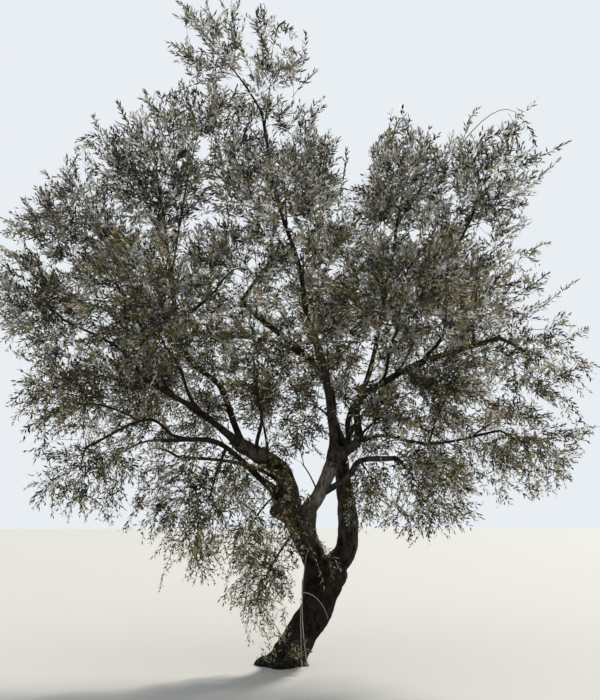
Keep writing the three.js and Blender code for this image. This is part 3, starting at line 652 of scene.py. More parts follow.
    def _join(self, root: Array, way: Array, tip: Array) -> None:
        """Joins a shoot to the best node of the growth so far, by a twig that keeps clear of limbs.

        Args:
            root: where the shoot starts.
            way: its unit way.
            tip: its tip.
        """
        step = root - self.nodes[: self.used]
        far = np.maximum(length_of(step)[:, 0], TINY)
        cost = far * (1 + self.TURN_COST * (1 - step @ way / far)) + self.PATH_COST * self.run[: self.used]
        shares = np.linspace(self.BOW / 2, 1, self.TWIG_TESTS)
        for start in np.argsort(cost)[: self.JOINTS_TRIED]:
            curve = self._twig_curve(self.nodes[start], root, way, shares)
            if not self.skeleton.clear(curve[1:], self.TWIG_ROOM).all():
                continue
            bow = self.used
            node = bow + 1
            self.nodes[bow], self.nodes[node] = curve[1], root
            self.back[bow], self.back[node] = start, bow
            self.run[bow] = self.run[start] + self.BOW * far[start]
            self.run[node] = self.run[start] + far[start]
            self.used += 2
            self.leads.append((int(start), node, tip))
            while node >= 0:
                self.sprays[node] += 1
                node = self.back[node]
            return

    @classmethod
    def _twig_curve(cls, start: Array, root: Array, way: Array, share: Array) -> Array:
        """Points on a twig that leaves a node and comes out along its shoot's own way.

        Args:
            start: the node.
            root: where the shoot starts.
            way: the shoot's unit way.
            share: shares of the twig's measure.

        Returns:
            The points.
        """
        s = share[:, None]
        chord = root - start
        far = float(np.linalg.norm(chord))
        leave = cls.LEAVE_ON * chord + cls.LEAVE_UP * far * UP * np.sign(way[2])
        rise, fall = s * (1 - s) ** 2, s * s * (s - 1)
        return start + chord * s * s * (3 - 2 * s) + rise * leave + fall * cls.ARRIVE * far * way

    def twig_radius(self, sprays: Array) -> Array:
        """The radius of a twig that carries this many sprays."""
        return self.TWIG_RADIUS * np.maximum(sprays, 1) ** self.TWIG_POWER

    def stem_tube(self) -> tuple[Array, Array]:
        """The stem, which starts as thick as the limb where it leaves a limb's tip.

        Returns:
            Its points and radii.
        """
        limb = float(self.carrier.radius(np.array(1.0 if self.mass.bough else self.mass.at)))
        own = self.twig_radius(self.sprays[: self.stem_count])
        side = min(self.SIDE_STEM * limb, self.SIDE_SWELL * float(own[0]))
        start = self.STEM_FIT * limb if self.mass.bough or self.mass.at == 1 else side
        fade = np.linspace(1, 0, self.stem_count) ** self.STEM_FADE
        return self.nodes[: self.stem_count], own + (start - own) * fade

    def shoots(self) -> tuple[Shoots, Shoots]:
        """The mass's leafy shoots.

        Returns:
            Each spray's leader with the twig that leads to it, and the side shoots.
        """
        leaders = len(self.leads)
        tints = self._tints(leaders)
        paths = np.zeros((leaders, self.TWIG_POINTS + self.SHOOT_POINTS, 3))
        radii = np.zeros(paths.shape[:2])
        arch = self.ARCH * self.random.normal(size=(leaders, 3))
        arch[:, 2] += self.ARCH * (self.ARCH_UP - self.ARCH_TURN * np.sign(self.mass.lift - self.LEVEL_LIFT))
        shares = np.linspace(0, 1, self.TWIG_POINTS + 1)
        share = np.linspace(0, 1, self.SHOOT_POINTS)[:, None]
        for i, (start, node, tip) in enumerate(self.leads):
            root = self.nodes[node]
            chord = tip - root
            far = float(np.linalg.norm(chord))
            twig = self._twig_curve(self.nodes[start], root, unit(chord), shares)
            bend = arch[i] * far * 4 * share * (1 - share)
            paths[i] = np.vstack([twig[:-1], root + chord * share + bend])
            carried = self.sprays[[node - 1] * self.TWIG_POINTS + [node]]
            radii[i, : self.TWIG_POINTS + 1] = self.twig_radius(carried)
            radii[i, 0] = min(radii[i, 0], self.TWIG_FIT * float(self.twig_radius(self.sprays[start])))
            radii[i, self.TWIG_POINTS :] = np.linspace(self.TWIG_RADIUS, self.TIP_RADIUS, self.SHOOT_POINTS)
        bare = np.full(leaders, (self.TWIG_POINTS - self.TWIG_LEAF) / (paths.shape[1] - 1))
        leading = Shoots(paths, radii, bare, tints, np.full(leaders, self.mass.lift))
        return leading, self._side_shoots(paths[:, self.TWIG_POINTS :])

    def _tints(self, count: int) -> Array:
        """The kinds of leaf of a number of sprays.

        Args:
            count: how many sprays.

        Returns:
            Each one's place in the order of the kinds.
        """
        above = (self.mass.centre[2] - self.HEART[2]) / self.METRES_UP
        shares = np.array([kind.share * max(self.LEAST_SHARE, 1 - kind.fall * above) for kind in Tint])
        return self.random.choice(len(shares), size=count, p=shares / shares.sum())

    def _side_shoots(self, leaders: Array) -> Shoots:
        """The side shoots of the leaders, in crossing pairs, where they keep to the mass's own space.

        Args:
            leaders: the leaders' leafy parts, as points.

        Returns:
            The side shoots.
        """
        normal = self.random.normal
        chord = leaders[:, -1] - leaders[:, 0]
        far, way = length_of(chord), unit(chord)
        side = unit(np.cross(way, UP + self.SIDE_TILT * normal(size=way.shape)))
        other = np.cross(side, way)
        share = np.linspace(0, 1, self.SIDE_POINTS)[None, :, None]
        made = []
        for turn, at in enumerate(self.SIDE_AT):
            for sign in (1, -1):
                out = sign * (side if turn % 2 == 0 else other)
                out = unit(out + self.JITTER * normal(size=out.shape))
                angle = self.SIDE_ANGLE * (1 + self.ANGLE_CHANGE * normal(size=far.shape))
                leave = np.cos(angle) * way + np.sin(angle) * out
                size = self.SIDE_SHOOT * far * (1 - self.SIDE_TAPER * at)
                size = size * (1 + self.SIDE_CHANGE * normal(size=far.shape))
                place = at * (self.SHOOT_POINTS - 1)
                step = int(place)
                root = leaders[:, step] + (leaders[:, step + 1] - leaders[:, step]) * (place - step)
                ahead = self.SIDE_FORWARD * share * way[:, None]
                made.append(root[:, None] + size[:, None] * share * (leave[:, None] + ahead))
        paths = np.vstack(made)
        fits = self._own_space(paths[:, -1], self.LEAF_ROOM)
        fits &= self.skeleton.clear(paths[:, 1], self.LEAF_ROOM)
        fits &= paths[:, :, 2].min(axis=1) > self.GROUND_ROOM
        paths = paths[fits]
        count = len(paths)
        taper = np.linspace(self.SIDE_GIRTH * self.TWIG_RADIUS, self.TIP_RADIUS, self.SIDE_POINTS)
        bare, hang = np.full(count, self.SIDE_BARE), np.full(count, self.mass.lift)
        return Shoots(paths, np.tile(taper, (count, 1)), bare, self._tints(count), hang)


@dataclass(frozen=True)
class Leaf:
    """An olive leaf: a narrow lozenge, pointed at both ends, whose halves slope down from the midrib.

    length is that of a leaf near the ground, and rise what is added for each metre of height.
    """

    length: float = 0.047
    rise: float = 0.0045
    width: float = 0.27
    belly: float = 0.46
    slope: float = 0.2
    spacing: float = 0.031
    angle: float = 0.85
    tip_angle: float = 0.4
    angle_change: float = 0.32
    way_change: float = 0.18
    least: float = 0.62
    most: float = 1.12

    CORNERS = 4
    TOP, BOTTOM = ((0, 2, 1), (0, 3, 2)), ((0, 1, 3), (1, 2, 3))
    LEAST_PAIRS, OFF_UP = 2, 1e-3
    TURN_CHANGE, FOOT_SHIFT, HANG, SIZE_CHANGE = 0.25, 0.35, 0.1, 0.14
    FACE_UP, FACE_UP_CHANGE, FACE_CHANGE = 0.35, 0.3, 0.35
    GROWN_FROM, GROWN_SPAN = 0.2, 0.68

    def dress(self, shoots: Shoots, random: np.random.Generator) -> tuple[Array, Array]:
        """Sets leaves in crossing pairs along shoots.

        Args:
            shoots: the shoots.
            random: the source of the leaves' small differences.

        Returns:
            The leaves' corners, four a leaf, and each leaf's kind.
        """
        runs = length_of(np.diff(shoots.paths, axis=1))[:, :, 0].sum(axis=1)
        count = np.maximum(self.LEAST_PAIRS, np.round((1 - shoots.bare) * runs / self.spacing)).astype(int)
        owner = np.repeat(np.arange(len(count)), count)
        order = np.arange(len(owner)) - np.repeat(np.cumsum(count) - count, count)
        outer = (order + 1) / count[owner]
        share = shoots.bare[owner] + (1 - shoots.bare[owner]) * outer
        spans = shoots.paths.shape[1] - 1
        span = np.minimum((share * spans).astype(int), spans - 1)
        low, high = shoots.paths[owner, span], shoots.paths[owner, span + 1]
        root, way = low + (high - low) * (share * spans - span)[:, None], unit(high - low)
        side = unit(np.cross(way, UP + self.OFF_UP))
        over = np.cross(side, way)
        turn = (random.uniform(0, math.pi, len(count))[owner] + order * math.pi / 2)[:, None]
        wave = np.sin(math.pi * (self.GROWN_FROM + self.GROWN_SPAN * outer))
        grown = self.least + (self.most - self.least) * wave
        mean = self.angle + (self.tip_angle - self.angle) * outer[:, None] ** 3
        corners = []
        for sign in (1, -1):
            about = turn + self.TURN_CHANGE * random.normal(size=turn.shape)
            out = sign * (np.cos(about) * side + np.sin(about) * over)
            angle = mean + self.angle_change * random.normal(size=mean.shape)
            shift = random.uniform(-self.FOOT_SHIFT, self.FOOT_SHIFT, size=mean.shape)
            foot = root + way * self.spacing * shift
            along = np.cos(angle) * way + np.sin(angle) * out + self.HANG * shoots.hang[owner][:, None] * UP
            along = unit(along + self.way_change * random.normal(size=along.shape))
            face = np.cross(along, np.cross(way, out))
            face = np.where((face * way).sum(1, keepdims=True) < 0, -face, face)
            face = unit(face + (self.FACE_UP + self.FACE_UP_CHANGE * random.normal(size=mean.shape)) * UP)
            face = unit(face + self.FACE_CHANGE * random.normal(size=along.shape))
            wide = unit(np.cross(face, along))
            size = (self.length + self.rise * foot[:, 2:]) * grown[:, None]
            size = size * (1 + self.SIZE_CHANGE * random.normal(size=size.shape))
            corners.append(self._corners(foot, along, wide, size))
        return np.vstack(corners), np.tile(shoots.tints[owner], len(corners))

    def _corners(self, root: Array, along: Array, wide: Array, size: Array) -> Array:
        """The corners of leaves.

        Args:
            root: where each leaf starts.
            along: the unit way to its tip.
            wide: the unit way to its left edge.
            size: its length.

        Returns:
            The root, left, tip and right corner of each.
        """
        face, half = np.cross(along, wide), 0.5 * self.width
        rows = [(0.0, 0.0), (self.belly, half), (1.0, 0.0), (self.belly, -half)]
        spots = [x * along + y * wide - abs(y) * self.slope * face for x, y in rows]
        return np.stack([root + size * spot for spot in spots], axis=1)


class MeshMaker:
    """Makes Blender objects from arrays of points and faces."""

    STEEP = 0.8

    @staticmethod
    def make(name: str, points: Array, faces: Array, smooth: bool = False) -> Piece:
        """Makes one object.

        Args:
            name: the piece's name.
            points: its points.
            faces: its faces, each with the same number of corners.
            smooth: whether it is shaded smooth.

        Returns:
            The object, linked to the scene.
        """
        mesh = bpy.data.meshes.new(name)
        mesh.vertices.add(len(points))
        mesh.vertices.foreach_set("co", np.ascontiguousarray(points, np.float32).ravel())
        corners = faces.shape[1]
        mesh.loops.add(faces.size)
        mesh.loops.foreach_set("vertex_index", np.ascontiguousarray(faces, np.int32).ravel())
        mesh.polygons.add(len(faces))
        mesh.polygons.foreach_set("loop_start", np.arange(0, faces.size, corners, dtype=np.int32))
        mesh.polygons.foreach_set("use_smooth", np.full(len(faces), smooth))
        mesh.update(calc_edges=True)
        made = bpy.data.objects.new(name, mesh)
        bpy.context.scene.collection.objects.link(made)
        return made

    @staticmethod
    def tubes(paths: Array, radii: Array, sides: int) -> tuple[Array, Array]:
        """Closed tubes along paths that have the same number of points.

        Args:
            paths: the paths, one row of points each.
            radii: the radius at each point.
            sides: the corners of a ring.

        Returns:
            The tubes' points and triangles.
        """
        count, rings = paths.shape[:2]
        way = unit(np.gradient(paths, axis=1))
        steep = np.abs(unit(way.mean(axis=1))[:, 2:]) > MeshMaker.STEEP
        away = np.where(steep, ALONG_X, UP)[:, None]
        side = unit(away - (away * way).sum(2, keepdims=True) * way)
        x, y = circle(sides)
        across = x * side[:, :, None] + y * np.cross(way, side)[:, :, None]
        points = (paths[:, :, None] + across * radii[..., None, None]).reshape(-1, 3)
        return points, MeshMaker.tube_faces(count, rings, sides)

    @staticmethod
    def tube_faces(count: int, rings: int, sides: int) -> Array:
        """The triangles of closed tubes whose points run ring by ring.

        Args:
            count: how many tubes there are.
            rings: the rings of each.
            sides: the corners of a ring.

        Returns:
            The triangles.
        """
        step, k = np.meshgrid(np.arange(rings - 1), np.arange(sides), indexing="ij")
        low, low_next = step * sides + k, step * sides + (k + 1) % sides
        high, high_next = low + sides, low_next + sides
        walls = [np.stack([low, low_next, high_next], -1), np.stack([low, high_next, high], -1)]
        fan = np.arange(1, sides - 1)
        first = np.stack([0 * fan, fan + 1, fan], -1)
        last = np.stack([0 * fan, fan, fan + 1], -1) + (rings - 1) * sides
        one = np.concatenate([wall.reshape(-1, 3) for wall in walls] + [first, last])
        return (one[None] + (np.arange(count) * rings * sides)[:, None, None]).reshape(-1, 3)


class Wire:
    """A socket of a material's nodes, with the arithmetic that shader maths is written in."""

    def __init__(self, finish: "Finish", socket: bpy.types.NodeSocket) -> None:
        """Wraps a socket."""
        self.finish, self.socket = finish, socket

    def _math(self, operation: str, first: "Wire | float", second: "Wire | float") -> "Wire":
        """A Math node on two values."""
        return self.finish.node("ShaderNodeMath", {"operation": operation}, {0: first, 1: second})

    def __add__(self, other: "Wire | float") -> "Wire":
        """self + other."""
        return self._math("ADD", self, other)

    def __radd__(self, other: float) -> "Wire":
        """other + self."""
        return self._math("ADD", other, self)

    def __sub__(self, other: "Wire | float") -> "Wire":
        """self - other."""
        return self._math("SUBTRACT", self, other)

    def __rsub__(self, other: float) -> "Wire":
        """other - self."""
        return self._math("SUBTRACT", other, self)

    def __mul__(self, other: "Wire | float") -> "Wire":
        """self * other."""
        return self._math("MULTIPLY", self, other)

    def __rmul__(self, other: float) -> "Wire":
        """other * self."""
        return self._math("MULTIPLY", other, self)


def linear(colour: str) -> tuple[float, float, float, float]:
    """A screen colour in the linear values that a shader takes.

    Args:
        colour: the colour, as #rrggbb.

    Returns:
        Its red, green and blue, and an alpha of 1.
    """
    parts = [int(colour[i : i + 2], 16) / 255 for i in (1, 3, 5)]
    red, green, blue = (p / 12.92 if p <= 0.04045 else ((p + 0.055) / 1.055) ** 2.4 for p in parts)
    return red, green, blue, 1.0


class Finish:
    """A material that is put together from nodes."""

    MIX_FIRST, MIX_SECOND, MIX_RESULT = 6, 7, 2

    def __init__(self, name: str) -> None:
        """Starts a material with nothing but its output and its surface shader.

        Args:
            name: the material's name.
        """
        self.material = bpy.data.materials.new(name)
        self.material.use_nodes = True
        self.tree = self.material.node_tree
        self.tree.nodes.clear()
        self.shader = self.tree.nodes.new("ShaderNodeBsdfPrincipled")
        output = self.tree.nodes.new("ShaderNodeOutputMaterial")
        self.tree.links.new(self.shader.outputs[0], output.inputs[0])

    def node(self, kind: str, settings: dict[str, Any], values: dict, output: int | str = 0) -> Wire:
        """Adds a node.

        Args:
            kind: its Blender type.
            settings: its own settings.
            values: what its input sockets hold or are linked to.
            output: the output that is wanted.

        Returns:
            That output.
        """
        made = self.tree.nodes.new(kind)
        for name, value in settings.items():
            setattr(made, name, value)
        for name, value in values.items():
            self._feed(made.inputs[name], value)
        return Wire(self, made.outputs[output])

    def _feed(self, socket: bpy.types.NodeSocket, value: Any) -> None:
        """Links a wire to a socket, or sets the socket's value.

        Args:
            socket: the socket.
            value: the wire, or the value.
        """
        if isinstance(value, Wire):
            self.tree.links.new(value.socket, socket)
        else:
            socket.default_value = value

    def surface(self, **values: Any) -> Material:
        """Sets or links the surface shader's sockets.

        Args:
            values: what each holds or is linked to, by its name with _ for a space.

        Returns:
            The finished material.
        """
        for name, value in values.items():
            self._feed(self.shader.inputs[name.replace("_", " ").title().replace("Ior", "IOR")], value)
        return self.material

    def place(self) -> Wire:
        """The point on the piece, in metres."""
        return self.node("ShaderNodeTexCoord", {}, {}, "Object")

    def noise(self, place: Wire, scale: float, detail: float = 4, roughness: float = 0.6) -> Wire:
        """A noise over places."""
        values = {"Vector": place, "Scale": scale, "Detail": detail, "Roughness": roughness}
        return self.node("ShaderNodeTexNoise", {}, values)

    def height(self, place: Wire) -> Wire:
        """The height of places above the ground."""
        return self.node("ShaderNodeSeparateXYZ", {}, {0: place}, "Z")

    def stretched(self, place: Wire, scale: Point) -> Wire:
        """Places, scaled along each axis."""
        return self.node("ShaderNodeVectorMath", {"operation": "MULTIPLY"}, {0: place, 1: scale})

    def mix(self, share: Wire | float, first: Any, second: Any) -> Wire:
        """A colour between two."""
        values = {0: share, self.MIX_FIRST: first, self.MIX_SECOND: second}
        return self.node("ShaderNodeMix", {"data_type": "RGBA"}, values, self.MIX_RESULT)

    def ramp(self, value: Wire, low: float, high: float) -> Wire:
        """A value that rises from 0 at low to 1 at high."""
        values = {"Value": value, "From Min": low, "From Max": high, "To Min": 0.0, "To Max": 1.0}
        return self.node("ShaderNodeMapRange", {"clamp": True}, values)


@dataclass(frozen=True)
class BarkFinish:
    """Bark: dark in its cracks, paler on its plates, with pale patches that are partly grey lichen and partly
    painted patches of sunlight.

    grain is how many of its cracks there are in a metre along each axis, and fade the heights between which
    it turns from the trunk's darker tone, a painted shade on the trunk, to its own. Each noise is given as
    its scale, detail and roughness.
    """

    name: str
    deep: str
    plate: str
    # partly grey lichen, partly painted patches of sunlight
    lichen: str
    lichen_share: float
    grain: Point
    depth: float
    fade: tuple[float, float] = (-2.0, -1.0)
    # painted shade: the darker plates of the trunk below the fade heights
    trunk_tone: str = "#15110e"
    specular: float = 0.15

    BROAD, CRACKS, SCALES, LICHEN = (7.0, 3), (1.0, 7, 0.66), (3.4, 4, 0.7), (5.5, 5, 0.7)
    CRACK_SHARE, SCALE_SHARE, BROAD_SHARE, FADE_WAVE = 0.65, 0.35, 0.3, 0.5
    TONE, LICHEN_EDGE = (0.42, 0.68), (0.56, 0.7)
    ROUGH, SMOOTHER = 0.97, 0.14

    def make(self) -> Material:
        """Makes the bark's material.

        Returns:
            The material.
        """
        finish = Finish(self.name)
        place = finish.place()
        grain = finish.stretched(place, self.grain)
        broad = finish.noise(place, *self.BROAD) - 0.5
        height = finish.noise(grain, *self.CRACKS) * self.CRACK_SHARE
        height = height + finish.noise(grain, *self.SCALES) * self.SCALE_SHARE
        tone = finish.ramp(height + broad * self.BROAD_SHARE, *self.TONE)
        # low is the bark with the trunk's painted shade on its plates, own the bark's own colours
        low, own = (finish.mix(tone, linear(self.deep), linear(top)) for top in (self.trunk_tone, self.plate))
        # pale patches on the plates: grey lichen, and partly painted patches of sunlight
        patches = finish.ramp(finish.noise(place, *self.LICHEN), *self.LICHEN_EDGE) * self.lichen_share
        own = finish.mix(patches * tone, own, linear(self.lichen))
        # below the fade heights, on a wavy edge, the bark takes the painted shade
        level = finish.height(place) + broad * self.FADE_WAVE
        colour = finish.mix(finish.ramp(level, *self.fade), low, own)
        bump = finish.node("ShaderNodeBump", {}, {"Strength": 1.0, "Distance": self.depth, "Height": height})
        rough = self.ROUGH - self.SMOOTHER * tone
        shine = {"roughness": rough, "specular_ior_level": self.specular}
        return finish.surface(base_color=colour, normal=bump, **shine)


@dataclass(frozen=True)
class PlainFinish:
    """A plain colour: a side of a leaf, the skin of a young twig, or the floor's paint."""

    name: str
    colour: str
    roughness: float
    specular: float = 0.5

    def make(self) -> Material:
        """Makes the material."""
        values = {"base_color": linear(self.colour), "roughness": self.roughness}
        return Finish(self.name).surface(**values, specular_ior_level=self.specular)


# the trunk's bark: its last colour is the painted shade of the trunk below 1.0 to 1.5 m
DARK_BARK = BarkFinish(
    "dark_bark", "#0a0807", "#6a6152", "#938b7b", 0.5, (24, 24, 8), 0.04, (1.0, 1.5), "#39322a"
)
BOUGH_BARK = BarkFinish("bough_bark", "#0d0b09", "#40392f", "#5b574e", 0.4, (34, 34, 22), 0.012)
MIDDLE_BARK = BarkFinish("middle_bark", "#1d1a16", "#57514a", "#716d63", 0.4, (32, 32, 14), 0.012)
# the pale bark's foot, below 1.35 to 1.75 m, takes the trunk's painted shade
PALE_BARK = BarkFinish("pale_bark", "#3b3731", "#8a8478", "#a09c91", 0.4, (30, 30, 9), 0.015, (1.35, 1.75))
TWIG_BARK = PlainFinish("twig_bark", "#2a251f", 0.85, 0.2)
SHOOT_SKIN = PlainFinish("shoot_skin", "#4a453a", 0.75, 0.2)
SUCKER_SKIN = PlainFinish("sucker_skin", "#a3988a", 0.8, 0.2)
FLOOR_PAINT = PlainFinish("floor_paint", "#adaca7", 0.9, 0.2)


def put_in_place(piece: Piece, finishes: Sequence[Material], nodes: Sequence[str]) -> Piece:
    """Gives a piece its materials, and puts it in the place of its nodes.

    Args:
        piece: the piece.
        finishes: its materials.
        nodes: the nodes that it replaces.

    Returns:
        The piece.
    """
    for finish in finishes:
        piece.data.materials.append(finish)
    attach(piece, BODY)
    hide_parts(*nodes)
    return piece


@dataclass(frozen=True)
class BarkRelief:
    """How far bark stands proud: broad lumps, long furrows and small plates."""

    lump: float = 0.2
    lump_size: float = 0.28
    furrow: float = 0.13
    furrow_size: float = 0.07
    stretch: float = 3.2
    plate: float = 0.02

    SHIFT, PLATES, EVEN = 7.3, 2.7, 0.45
    FULL_RADIUS, LEAST_SIZE, MOST_SIZE = 0.12, 0.35, 1.2

    def heights(self, around: Array, along: Array, radius: Array, seed: int) -> Array:
        """The relief at points on a limb.

        Args:
            around: the cosine and sine of each point's angle, times the limb's radius.
            along: how far along the limb each lies.
            radius: the limb's radius there.
            seed: which limb it is.

        Returns:
            How far each point stands proud, in metres.
        """
        shift = self.SHIFT * (seed + 1)
        rows = np.column_stack([around, along])
        size = np.clip(radius / self.FULL_RADIUS, self.LEAST_SIZE, self.MOST_SIZE)
        lumps = [noise.fractal(Vector((x, y, z + shift)) / self.lump_size, 1.0, 2.0, 2) for x, y, z in rows]
        tall = rows * np.array([1, 1, 1 / self.stretch]) / (self.furrow_size * size[:, None])
        furrows = [noise.turbulence(Vector((x, y, z + shift)), 3, True) for x, y, z in tall]
        plates = [noise.noise(Vector((x, y, z + shift)) * self.PLATES) for x, y, z in tall]
        height = self.lump * np.array(lumps) + self.furrow * (np.array(furrows) - self.EVEN)
        return radius * (height + self.plate * np.array(plates))


@dataclass(frozen=True)
class Burl:
    """A swelling on a limb: its middle, its size and how far it stands out."""

    place: Point
    size: float
    height: float

    def heights(self, points: Array) -> Array:
        """How far the burl lifts points."""
        gap = np.linalg.norm(points - np.array(self.place), axis=-1)
        return self.height * np.exp(-((gap / self.size) ** 2))


@dataclass
class BarkSkin:
    """The relief bark of the limbs: a fused skin for the trunk and its thick stems, a tube for each bough."""

    skeleton: Skeleton
    relief: BarkRelief = BarkRelief()
    fused: tuple[str, ...] = ("trunk", "left_stem", "right_stem", "left_bough")
    pale: str = "middle_stem"
    greyish: tuple[str, ...] = ("leader_foot", "right_fork", "right_low_bough")
    voxel: float = 0.0115
    smoothing: int = 9
    smoothing_share: float = 0.5
    below: float = 0.08
    blend: float = 0.035
    collar: float = 0.4
    ring_step: float = 0.026
    side_step: float = 0.021
    least_sides: int = 9
    burls: tuple[Burl, ...] = (
        Burl((0.0, -0.1, 1.59), 0.1, 0.13),
        Burl((-0.08, -0.16, 1.72), 0.08, 0.03),
        Burl((0.1, -0.24, 1.66), 0.08, 0.03),
        Burl((0.16, -0.2, 1.22), 0.12, 0.03),
        Burl((0.28, -0.26, 0.1), 0.13, 0.03),
        Burl((0.7, 0.02, 1.4), 0.1, 0.03),
    )

    SIDES, STEPS, PLACES, STEEP = 48, 40, 90, 0.6
    LEAST_WEIGHT, LEAST_SHARE, COLLAR_LENGTH = 1e-9, 0.02, 2.2

    def _frames(self, limb: Limb, share: Array) -> tuple[Array, Array, Array]:
        """The limb's line, with two directions square to it.

        Args:
            limb: the limb.
            share: shares of its length.

        Returns:
            Its points there and the two directions at each.
        """
        points, ways = limb.line.points_at(share), limb.line.ways_at(share)
        away = ALONG_X if abs(unit(ways.mean(0))[2]) > self.STEEP else UP
        side = unit(away - (ways @ away)[:, None] * ways)
        return points, side, np.cross(ways, side)

    def _rings(self, limb: Limb, share: Array, sides: int) -> tuple[Array, Array]:
        """The middles of rings round a limb, and the unit ways from them to their corners.

        Args:
            limb: the limb.
            share: the shares of its length that the rings stand at.
            sides: the corners of a ring.

        Returns:
            The middles and the ways.
        """
        points, side, over = self._frames(limb, share)
        x, y = circle(sides)
        return points[:, None], x * side[:, None] + y * over[:, None]

    def _tube(self, limb: Limb) -> tuple[Array, Array]:
        """A plain tube along a limb, with the trunk's sections turned level at the ground.

        Args:
            limb: the limb.

        Returns:
            The tube's points and triangles.
        """
        share = np.linspace(0, 1, self.STEPS + 1)
        points, across = self._rings(limb, share, self.SIDES)
        if isinstance(limb, Trunk):
            level = unit(across * np.array([1, 1, 0]))
            part = np.clip(share / limb.LEVEL_PART, 0, 1)[:, None, None]
            across = unit(level + (across - level) * part)
        angle = np.arctan2(across[..., 1], across[..., 0])
        ring = points + across * limb.radius(share[:, None], angle)[..., None]
        if isinstance(limb, Trunk):
            ring = np.concatenate([ring[:1] - UP * self.below, ring])
        return ring.reshape(-1, 3), MeshMaker.tube_faces(1, len(ring), self.SIDES)

    def _fuse(self) -> tuple[Array, Array, Array]:
        """Fuses the thick limbs into one smooth skin, which still reaches below the ground.

        Returns:
            The skin's points, its four-sided faces and its normals.
        """
        points, faces, count = [], [], 0
        for name in self.fused:
            tube, skin = self._tube(self.skeleton.limbs[name])
            points.append(tube)
            faces.append(skin + count)
            count += len(tube)
        rough = MeshMaker.make("rough_skin", np.vstack(points), np.vstack(faces))
        remesh = rough.modifiers.new("fuse", "REMESH")
        remesh.mode, remesh.voxel_size, remesh.adaptivity = "VOXEL", self.voxel, 0
        smooth = rough.modifiers.new("smooth", "SMOOTH")
        smooth.factor, smooth.iterations = self.smoothing_share, self.smoothing
        shaped = rough.evaluated_get(bpy.context.evaluated_depsgraph_get()).to_mesh()
        co, normal = np.zeros(len(shaped.vertices) * 3), np.zeros(len(shaped.vertices) * 3)
        shaped.vertices.foreach_get("co", co)
        shaped.vertices.foreach_get("normal", normal)
        quads = np.zeros(len(shaped.loops), int)
        shaped.loops.foreach_get("vertex_index", quads)
        bpy.data.objects.remove(rough)
        return co.reshape(-1, 3), quads.reshape(-1, 4), normal.reshape(-1, 3)

    def _around(self, limb: Limb, points: Array) -> tuple[Array, Array, Array, Array]:
        """Where points lie about a limb.

        Args:
            limb: the limb.
            points: the points.

        Returns:
            Each one's angle as its cosine and sine, how far along it lies, the radius there, and its gap.
        """
        share = np.linspace(0, 1, self.PLACES)
        line, side, over = self._frames(limb, share)
        nearest = np.argmin(np.linalg.norm(points[:, None] - line[None], axis=2), axis=1)
        step = points - line[nearest]
        x, y = (step * side[nearest]).sum(1), (step * over[nearest]).sum(1)
        far = np.maximum(np.hypot(x, y), TINY)
        radius = limb.radius(share[nearest], np.arctan2(step[:, 1], step[:, 0]))
        along = share[nearest] * limb.line.length + (step * np.cross(side, over)[nearest]).sum(1)
        gap = np.linalg.norm(step, axis=1) - radius
        return np.column_stack([x / far, y / far]), along, radius, gap

    def build_trunk(self) -> Piece:
        """Builds the fused skin of the trunk and its thick stems, with its relief.

        Returns:
            The piece.
        """
        points, quads, normals = self._fuse()
        total, weight = np.zeros(len(points)), np.full(len(points), self.LEAST_WEIGHT)
        for seed, name in enumerate(self.fused):
            around, along, radius, gap = self._around(self.skeleton.limbs[name], points)
            share = np.exp(-np.clip(gap, 0, 1) / self.blend)
            used = share > self.LEAST_SHARE
            rim = around[used] * float(radius.mean())
            heights = self.relief.heights(rim, along[used], radius[used], seed)
            total[used] += share[used] * heights
            weight[used] += share[used]
        lift = total / weight + sum(burl.heights(points) for burl in self.burls)
        points = points + normals * lift[:, None]
        skin = MeshMaker.make("trunk_bark", points, quads, smooth=True)
        self._cut_level(skin)
        return put_in_place(skin, [DARK_BARK.make()], self.fused)

    @staticmethod
    def _cut_level(skin: Piece) -> None:
        """Cuts a skin flat at the ground and closes it there.

        Args:
            skin: the skin.
        """
        shape = bmesh.new()
        shape.from_mesh(skin.data)
        parts = [*shape.verts, *shape.edges, *shape.faces]
        ground = {"plane_co": (0, 0, 0), "plane_no": (0, 0, 1)}
        cut = bmesh.ops.bisect_plane(shape, geom=parts, **ground, clear_inner=True)
        rim = [part for part in cut["geom_cut"] if isinstance(part, bmesh.types.BMEdge)]
        bmesh.ops.edgeloop_fill(shape, edges=rim)
        bmesh.ops.recalc_face_normals(shape, faces=shape.faces)
        shape.to_mesh(skin.data)
        shape.free()

    def build_bough(self, limb: Limb, seed: int, finish: Material) -> Piece:
        """Builds one bough's bark: a tube with a collar at its foot and with relief.

        Args:
            limb: the bough.
            seed: its place among the boughs.
            finish: its material.

        Returns:
            The piece.
        """
        steps = math.ceil(limb.line.length / self.ring_step)
        sides = max(self.least_sides, math.ceil(2 * math.pi * limb.girth[0] / self.side_step))
        share = np.linspace(0, 1, steps + 1)
        points, across = self._rings(limb, share, sides)
        along = share * limb.line.length
        foot = 1 + self.collar * np.exp(-along / (self.COLLAR_LENGTH * limb.girth[0]))
        radius = np.repeat(limb.radius(share) * foot, sides)
        rim = np.tile(np.hstack(circle(sides)) * limb.girth[0], (steps + 1, 1))
        bark = self.relief.heights(rim, np.repeat(along, sides), radius, seed)
        ring = points + across * (radius + bark).reshape(steps + 1, sides, 1)
        ring = ring + across * sum(burl.heights(ring) for burl in self.burls)[..., None]
        faces = MeshMaker.tube_faces(1, steps + 1, sides)
        skin = MeshMaker.make(f"{limb.name}_bark", ring.reshape(-1, 3), faces, smooth=True)
        return put_in_place(skin, [finish], [limb.name])

